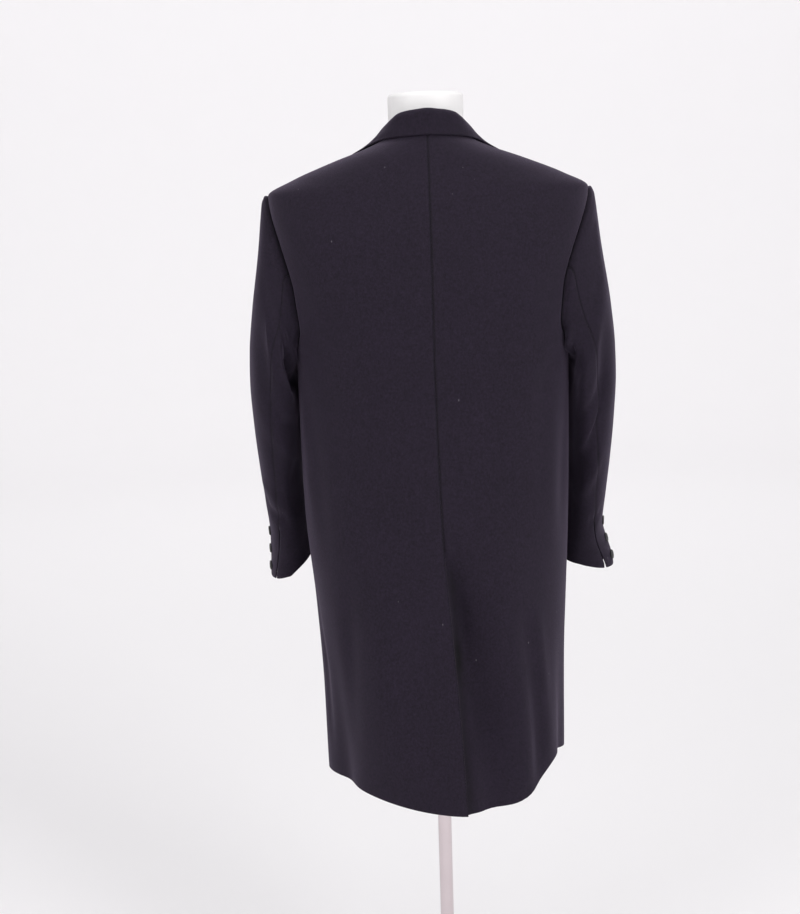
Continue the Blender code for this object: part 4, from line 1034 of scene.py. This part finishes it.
def holedButton(radius, tall):
    profile = [(r * radius, z * tall) for r, z in buttonProfile]
    blank = helper("buttonBlank", latheMesh("buttonBlank", profile, buttonShape["sides"]))
    drill = bmesh.new()
    reach, holeR = buttonShape["holeOut"] * radius, buttonShape["holeR"] * radius
    for i in range(4):
        angle = math.pi / 4 + i * math.pi / 2
        place = Matrix.Translation((reach * math.cos(angle), reach * math.sin(angle), 0.0))
        bmesh.ops.create_cone(drill, cap_ends=True, segments=buttonShape["holeSides"], radius1=holeR, radius2=holeR,
                              depth=tall * buttonShape["holeDeep"], matrix=place)
    bits = helper("buttonDrill", shellMesh("buttonDrill", drill))
    cut = blank.modifiers.new("holes", "BOOLEAN")
    cut.operation = "DIFFERENCE"
    cut.solver = "EXACT"
    cut.object = bits
    mesh = smoothAll(plainMesh(blank))
    for piece in (blank, bits):
        bpy.data.objects.remove(piece)
    mesh.set_sharp_from_angle(angle=math.radians(buttonShape["sharp"]))
    return helper("holedButton", mesh)


def threadBars(radius, tall):
    shell = bmesh.new()
    reach = buttonShape["holeOut"] * radius * math.cos(math.pi / 4)
    thick = buttonShape["holeR"] * radius * threadShape["thick"]
    parts, sides = threadShape["parts"], threadShape["sides"]
    for side in (-1, 1):
        for strand in (-1, 0, 1):
            rings = []
            for i in range(parts + 1):
                along = math.pi * i / parts
                x = -reach * math.cos(along)
                z = tall * threadShape["sit"] + thick * threadShape["arch"] * math.sin(along)
                ring = []
                for k in range(sides):
                    turn = 2 * math.pi * k / sides
                    y = side * reach + strand * thick * threadShape["apart"] + thick * math.cos(turn)
                    ring.append(shell.verts.new((x, y, z + thick * math.sin(turn))))
                rings.append(ring)
            for low, high in zip(rings, rings[1:]):
                for k in range(sides):
                    after = (k + 1) % sides
                    shell.faces.new((low[k], high[k], high[after], low[after]))
            shell.faces.new(rings[0])
            shell.faces.new(rings[-1][::-1])
    bmesh.ops.recalc_face_normals(shell, faces=shell.faces)
    return helper("threadBars", shellMesh("threadBars", shell))


def makeSetTree():  # sets a shape on every point, turned to its outward and along directions
    tree = bpy.data.node_groups.new("setOnCloth", "GeometryNodeTree")
    tree.interface.new_socket("Points", in_out="INPUT", socket_type="NodeSocketGeometry")
    ids = {}
    for label, kind in (("Shape", "NodeSocketObject"), ("Finish", "NodeSocketMaterial"), ("Spin", "NodeSocketFloat"),
                        ("Seed", "NodeSocketInt"), ("Size", "NodeSocketFloat")):
        ids[label] = tree.interface.new_socket(label, in_out="INPUT", socket_type=kind).identifier
    tree.interface.new_socket("Geometry", in_out="OUTPUT", socket_type="NodeSocketGeometry")
    given, made = tree.nodes.new("NodeGroupInput"), tree.nodes.new("NodeGroupOutput")
    outward, along = (tree.nodes.new("GeometryNodeInputNamedAttribute") for _ in range(2))
    for node, label in ((outward, "outward"), (along, "along")):
        node.data_type = "FLOAT_VECTOR"
        node.inputs["Name"].default_value = label
    stand, face = (tree.nodes.new("FunctionNodeAlignRotationToVector") for _ in range(2))
    stand.axis = "Z"
    face.axis = "X"
    face.pivot_axis = "Z"
    shape = tree.nodes.new("GeometryNodeObjectInfo")
    jitter = tree.nodes.new("FunctionNodeRandomValue")
    jitter.data_type = "FLOAT"
    minus = tree.nodes.new("ShaderNodeMath")
    minus.operation = "MULTIPLY"
    minus.inputs[1].default_value = -1.0
    spin = tree.nodes.new("FunctionNodeAxisAngleToRotation")
    spin.inputs["Axis"].default_value = (0.0, 0.0, 1.0)
    turned = tree.nodes.new("FunctionNodeRotateRotation")
    turned.rotation_space = "LOCAL"
    put = tree.nodes.new("GeometryNodeInstanceOnPoints")
    real, dress = tree.nodes.new("GeometryNodeRealizeInstances"), tree.nodes.new("GeometryNodeSetMaterial")
    low = next(s for s in jitter.inputs if s.name == "Min" and s.type == "VALUE")
    high = next(s for s in jitter.inputs if s.name == "Max" and s.type == "VALUE")
    amount = next(s for s in jitter.outputs if s.type == "VALUE")
    wire(tree, (given.outputs["Points"], put.inputs["Points"]), (given.outputs["Shape"], shape.inputs["Object"]),
         (shape.outputs["Geometry"], put.inputs["Instance"]), (outward.outputs["Attribute"], stand.inputs["Vector"]),
         (stand.outputs["Rotation"], face.inputs["Rotation"]), (along.outputs["Attribute"], face.inputs["Vector"]),
         (given.outputs["Spin"], high), (given.outputs["Spin"], minus.inputs[0]), (minus.outputs[0], low),
         (given.outputs["Seed"], jitter.inputs["Seed"]), (amount, spin.inputs["Angle"]),
         (face.outputs["Rotation"], turned.inputs["Rotation"]), (spin.outputs["Rotation"], turned.inputs["Rotate By"]),
         (turned.outputs["Rotation"], put.inputs["Rotation"]), (given.outputs["Size"], put.inputs["Scale"]),
         (put.outputs["Instances"], real.inputs["Geometry"]), (real.outputs["Geometry"], dress.inputs["Geometry"]),
         (given.outputs["Finish"], dress.inputs["Material"]), (dress.outputs["Geometry"], made.inputs["Geometry"]))
    return tree, ids


setTree, setIds = makeSetTree()


def setOnCloth(name, places, shape, finish, spin=0.0, size=1.0):  # places: point, outward, along
    mesh = bpy.data.meshes.new(name)
    mesh.from_pydata([tuple(p) for p, _, _ in places], [], [])
    for label, which in (("outward", 1), ("along", 2)):
        layer = mesh.attributes.new(label, "FLOAT_VECTOR", "POINT")
        layer.data.foreach_set("vector", np.array([row[which] for row in places], np.float32).ravel())
    piece = addPiece(name, mesh)
    made = piece.modifiers.new("set", "NODES")
    made.node_group = setTree
    values = {"Shape": shape, "Finish": finish, "Spin": spin, "Seed": buttonShape["seed"], "Size": size}
    for label, value in values.items():
        made[setIds[label]] = value
    done = plainMesh(piece)
    piece.modifiers.clear()
    piece.data = smoothAll(done)
    bpy.data.meshes.remove(mesh)
    return piece


def nodeMiddle(node):
    low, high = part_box(node)
    return np.array((low + high) / 2)


frontButtonZ = (1.060, 0.930, 0.800)
cuffButtonWays = (0.965, 0.905, 0.845)
cuffButtonTurn = 26.0
cuffSit = 0.5  # share of the rim's height that the button is raised by
cuffRim = [(7.0, 0.0), (-7.0, 0.0), (0.0, 0.012), (0.0, -0.012)]  # degrees and shares to the button's rim
frontPlaces, cuffPlaces = [], []
for number, z in enumerate(frontButtonZ, 1):
    out = outwardAt(bodyPoint, float(frontTurn(1, 0.0, z)), z)
    frontPlaces.append((nodeMiddle(f"front_button_{number}"), out, np.array([1.0, 0.0, 0.0])))
for side in (1, -1):
    arm = partial(sleevePoint, side)
    for share in cuffButtonWays:
        out = outwardAt(arm, cuffButtonTurn, share, side)
        seat = arm(cuffButtonTurn, share)
        rim = [arm(cuffButtonTurn + turn, share + way) - seat for turn, way in cuffRim]
        high = max(float(np.dot(r, out)) for r in rim) * cuffSit + buttonSizes["cuff"][1] / 2
        cuffPlaces.append((seat + out * high, out, np.array([0.0, 1.0, 0.0])))

buttonMakers = {  # size, places, what is set there and its finish
    "frontButtons": ("front", frontPlaces, holedButton, horn),
    "cuffButtons": ("cuff", cuffPlaces, holedButton, horn),
    "frontButtonThread": ("front", frontPlaces, threadBars, thread),
    "cuffButtonThread": ("cuff", cuffPlaces, threadBars, thread),
}
sewnOn = {name: setOnCloth(name, places, make(*buttonSizes[size]), finish, buttonShape["spin"])
          for name, (size, places, make, finish) in buttonMakers.items()}

buttonhole = {"from": -0.004, "to": 0.0215, "half": 0.0011, "eye": 0.0019, "eyeSharp": 6, "endRound": 0.6,
              "sideRound": 0.35, "stitches": 46, "stitchLong": 0.0024, "stitchThick": 0.00032,
              "stitchSides": 6, "lift": 0.0002}
stitchProfile = [(0.0, -0.5), (0.7, -0.42), (1.0, 0.0), (0.7, 0.42), (0.0, 0.5)]  # radius, height


def stitchBar():
    mesh = latheMesh("holeStitch", stitchProfile, buttonhole["stitchSides"])
    thick, long = buttonhole["stitchThick"], buttonhole["stitchLong"]
    mesh.transform(Matrix.Rotation(math.pi / 2, 4, "Y") @ Matrix.Diagonal((thick, thick, long, 1.0)))
    return helper("holeStitch", mesh)


def rounded(value, power):
    return math.copysign(abs(value) ** power, value)


def buttonholePlaces(z):
    places = []
    middle, reach = (buttonhole["from"] + buttonhole["to"]) / 2, (buttonhole["to"] - buttonhole["from"]) / 2
    for i in range(buttonhole["stitches"]):
        t = i / buttonhole["stitches"] * 2 * math.pi
        eye = (0.5 - 0.5 * math.cos(t)) ** buttonhole["eyeSharp"]
        wide = buttonhole["half"] + (buttonhole["eye"] - buttonhole["half"]) * eye
        x = middle + reach * rounded(math.cos(t), buttonhole["endRound"])
        h = z + wide * rounded(math.sin(t), buttonhole["sideRound"])
        turn = float(frontTurn(1, x, h))
        out = outwardAt(bodyPoint, turn, h)
        away = np.array([(x - middle) / reach * wide, 0.0, h - z])
        places.append((bodyPoint(turn, h) + out * buttonhole["lift"], out, unit(away + 1e-6)))
    return places


holePlaces = [place for z in frontButtonZ for place in buttonholePlaces(z)]
sewnOn["buttonholeStitches"] = setOnCloth("buttonholeStitches", holePlaces, stitchBar(), thread)
buttonNodes = {"frontButtons": [f"front_button_{n}" for n in (1, 2, 3)],
               "cuffButtons": [f"cuff_button_{word}_{n}" for word in ("left", "right") for n in (1, 2, 3)]}
for name, piece in sewnOn.items():
    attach(piece, "root")
    if name in buttonNodes:
        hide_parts(*buttonNodes[name])
for label in ("holedButton", "threadBars", "holeStitch"):
    for piece in [o for o in bpy.data.objects if o.name.split(".")[0] == label]:
        bpy.data.objects.remove(piece)
print("buttons sewn on")

# dress form and stand
formTorso = columnsOf("z halfWidth back front square", [
    (0.740, 0.1560, 0.1120, 0.1020, 2.3),
    (0.850, 0.1690, 0.1240, 0.1060, 2.3),
    (1.000, 0.1560, 0.1080, 0.1060, 2.3),
    (1.130, 0.1720, 0.1240, 0.1180, 2.4),
    (1.250, 0.1850, 0.1280, 0.1180, 2.5),
    (1.330, 0.1950, 0.1180, 0.1000, 2.5),
    (1.385, 0.2000, 0.1020, 0.0790, 2.4),
    (1.4125, 0.2000, 0.0930, 0.0690, 2.3),
])
formNeck = [(1.476, 0.0600, 0.002), (1.488, 0.0572, 0.001), (1.515, 0.0570, -0.001), (1.538, 0.0570, -0.003),
            (1.543, 0.0555, -0.004), (1.545, 0.0520, -0.004)]  # height, radius, shift to the back
formShape = {"sides": 112, "torsoRows": (0.740, 1.385, 52), "capRows": (1.400, 1.4125), "drop": 0.0042,
             "backEase": 0.0115, "frontEase": 0.0070, "square": 2.3, "parts": 3,
             "shoulderRows": (1.424, 1.436, 1.448, 1.458, 1.464), "lidMiddle": (0.0, -0.004, 1.545),
             "lid": (0.94, 0.6, 0.25), "foot": (0.3, 0.75, 0.96)}


def formRing(turn, halfWidth, back, front, square, z, shift=0.0):
    sine, cosine = np.abs(np.sin(turn)), np.cos(turn)
    depth = np.where(cosine > 0, back, front)
    radius = ((sine / halfWidth) ** square + (np.abs(cosine) / depth) ** square) ** (-1 / square)
    return np.stack([radius * np.sin(turn), radius * np.cos(turn) + shift, np.full(turn.shape, z)], axis=-1)


def makeForm():
    turn = np.linspace(0, 2 * np.pi, formShape["sides"], endpoint=False)
    rings = []
    torsoRows = formShape["torsoRows"][2]
    for z in np.concatenate([np.linspace(*formShape["torsoRows"]), formShape["capRows"]]):
        rings.append(formRing(turn, *[formTorso[n](z) for n in ("halfWidth", "back", "front", "square")], z))
    for z in formShape["shoulderRows"]:
        at = {name: coatBody[name](z + formShape["drop"]) for name in ("halfWidth", "back", "front", "square")}
        rings.append(formRing(turn, at["halfWidth"], at["back"] - formShape["backEase"],
                              at["front"] - formShape["frontEase"], min(at["square"], formShape["square"]), z))
    for z, radius, shift in formNeck:
        rings.append(formRing(turn, radius, radius, radius, 2.0, z, shift))
    rings = np.array(rings)
    top = throughPoints(rings[torsoRows:].transpose(1, 0, 2), formShape["parts"]).transpose(1, 0, 2)
    rings = np.concatenate([rings[:torsoRows], top])
    middle, hips = np.array(formShape["lidMiddle"]), rings[0].mean(axis=0)
    lid = np.stack([middle + (rings[-1] - middle) * share for share in formShape["lid"]])
    base = np.stack([hips + (rings[0] - hips) * share for share in formShape["foot"]])
    rings = np.concatenate([base, rings, lid])
    count, sides = rings.shape[:2]
    index = np.arange(count * sides).reshape(count, sides)
    after = np.roll(index, -1, axis=1)
    quads = np.stack([index[:-1], index[1:], after[1:], after[:-1]], axis=-1).reshape(-1, 4).tolist()
    mesh = bpy.data.meshes.new("dressForm")
    mesh.from_pydata(rings.reshape(-1, 3).tolist(), [], quads + [index[0].tolist(), index[-1][::-1].tolist()])
    return smoothAll(mesh)


standShape = {"poleR": 0.011, "poleParts": 8, "bevel": 0.0006, "baseR": 0.165, "baseTall": 0.010, "edge": 0.003,
              "gap": 0.0003, "formBottom": 0.740}


def standProfiles():
    r, bevel, parts = standShape["poleR"], standShape["bevel"], standShape["poleParts"]
    low, high = standShape["baseTall"] + standShape["gap"], standShape["formBottom"] - standShape["gap"]
    pole = [(0.0, low), (r - bevel, low), (r, low + bevel)]
    pole += [(r, low + (high - low) * i / parts) for i in range(1, parts)]
    pole += [(r, high - bevel), (r - bevel, high), (0.0, high)]
    big, tall, edge = standShape["baseR"], standShape["baseTall"], standShape["edge"]
    angles = [math.pi / 8 * i for i in range(5)]
    plate = [(0.0, 0.0), (big - edge, 0.0)]
    plate += [(big - edge + edge * math.sin(a), edge - edge * math.cos(a)) for a in angles[1:]]
    plate += [(big - edge + edge * math.cos(a), tall - edge + edge * math.sin(a)) for a in angles]
    plate += [(big * share, tall) for share in (0.6, 0.3, 0.0)]
    return pole, plate


poleProfile, plateProfile = standProfiles()
standPieces = {  # mesh, where its edges are sharp, solid, slot, finish
    "dressForm": (makeForm(), 50.0, "form_torso", "form_cover", "paleFormCover"),
    "standPole": (latheMesh("standPole", poleProfile, 64), 60.0, "stand_pole", "pole_chrome", "poleChrome"),
    "standPlate": (latheMesh("standPlate", plateProfile, 128), 60.0, "stand_base", "base_chrome", "plateChrome"),
}
for name, (mesh, sharp, node, slot, finish) in standPieces.items():
    mesh.materials.append(makeSmooth(finish))
    mesh.set_sharp_from_angle(angle=math.radians(sharp))
    piece = addPiece(name, mesh)
    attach(piece, "root")
    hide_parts(node)
print("dress form and stand made")

# room, light and camera
studio = {"floor": (0.90, 0.89, 0.90), "radius": 7.5, "bend": 2.2, "bendParts": 12, "wall": 6.0, "inner": 1.5,
          "sides": 96, "rough": 0.9, "specular": 0.1, "world": 0.65, "worldTint": (1.0, 0.99, 1.0)}
softboxes = {  # place, aim, size, power
    "keyRight": ((-2.4, 2.6, 2.7), (0.0, 0.0, 1.1), (1.4, 1.8), 64.0),
    "fillLeft": ((2.5, 2.6, 2.5), (0.0, 0.0, 1.1), (1.6, 2.0), 36.0),
    "top": ((0.0, 0.4, 4.2), (0.0, 0.0, 1.0), (2.6, 2.6), 32.0),
    "backdropWash": ((0.0, -3.2, 4.2), (0.0, -7.4, 1.4), (6.0, 1.2), 70.0),
}


def makeRoom():
    flat = studio["radius"] - studio["bend"]
    profile = [(0.0, 0.0), (studio["inner"], 0.0), (flat, 0.0)]
    for i in range(1, studio["bendParts"] + 1):
        a = math.pi / 2 * i / studio["bendParts"]
        profile.append((flat + studio["bend"] * math.sin(a), studio["bend"] * (1 - math.cos(a))))
    profile.append((studio["radius"], studio["wall"]))
    mesh = latheMesh("studioRoom", profile, studio["sides"])
    mesh.flip_normals()
    material, _, shader = newFinish("palePaper")
    fill(shader, {"Base Color": (*studio["floor"], 1.0), "Roughness": studio["rough"],
                  "Specular IOR Level": studio["specular"]})
    mesh.materials.append(material)
    addPiece("studioRoom", mesh)


def softbox(name, place, aim, size, power):
    light = bpy.data.lights.new(name, "AREA")
    light.shape = "RECTANGLE"
    light.size, light.size_y = size
    light.energy = power
    box = addPiece(name, light)
    box.location = place
    box.rotation_euler = (Vector(aim) - Vector(place)).to_track_quat("-Z", "Y").to_euler()


makeRoom()
world = bpy.data.worlds.new("studioSky")
bpy.context.scene.world = world
world.use_nodes = True
fill(world.node_tree.nodes["Background"], {"Color": (*studio["worldTint"], 1.0), "Strength": studio["world"]})
for name, setting in softboxes.items():
    softbox(name, *setting)

cameraSetup = {"lens": 57.11, "sensor": 36.0, "far": 100.0, "place": (0.055, 2.25, 1.386), "tilt": 80.0, "roll": 1.8}
camera = addPiece("photoCamera", bpy.data.cameras.new("photoCamera"))
camera.data.sensor_width = cameraSetup["sensor"]
camera.data.lens = cameraSetup["lens"]
camera.data.clip_end = cameraSetup["far"]
camera.matrix_world = (Matrix.Translation(cameraSetup["place"]) @ Matrix.Rotation(math.pi, 4, "Z")
                       @ Matrix.Rotation(math.radians(cameraSetup["tilt"]), 4, "X")
                       @ Matrix.Rotation(math.radians(-cameraSetup["roll"]), 4, "Z"))
bpy.context.scene.camera = camera
bpy.context.scene.view_settings.view_transform = "Standard"
print("room, light and camera set")
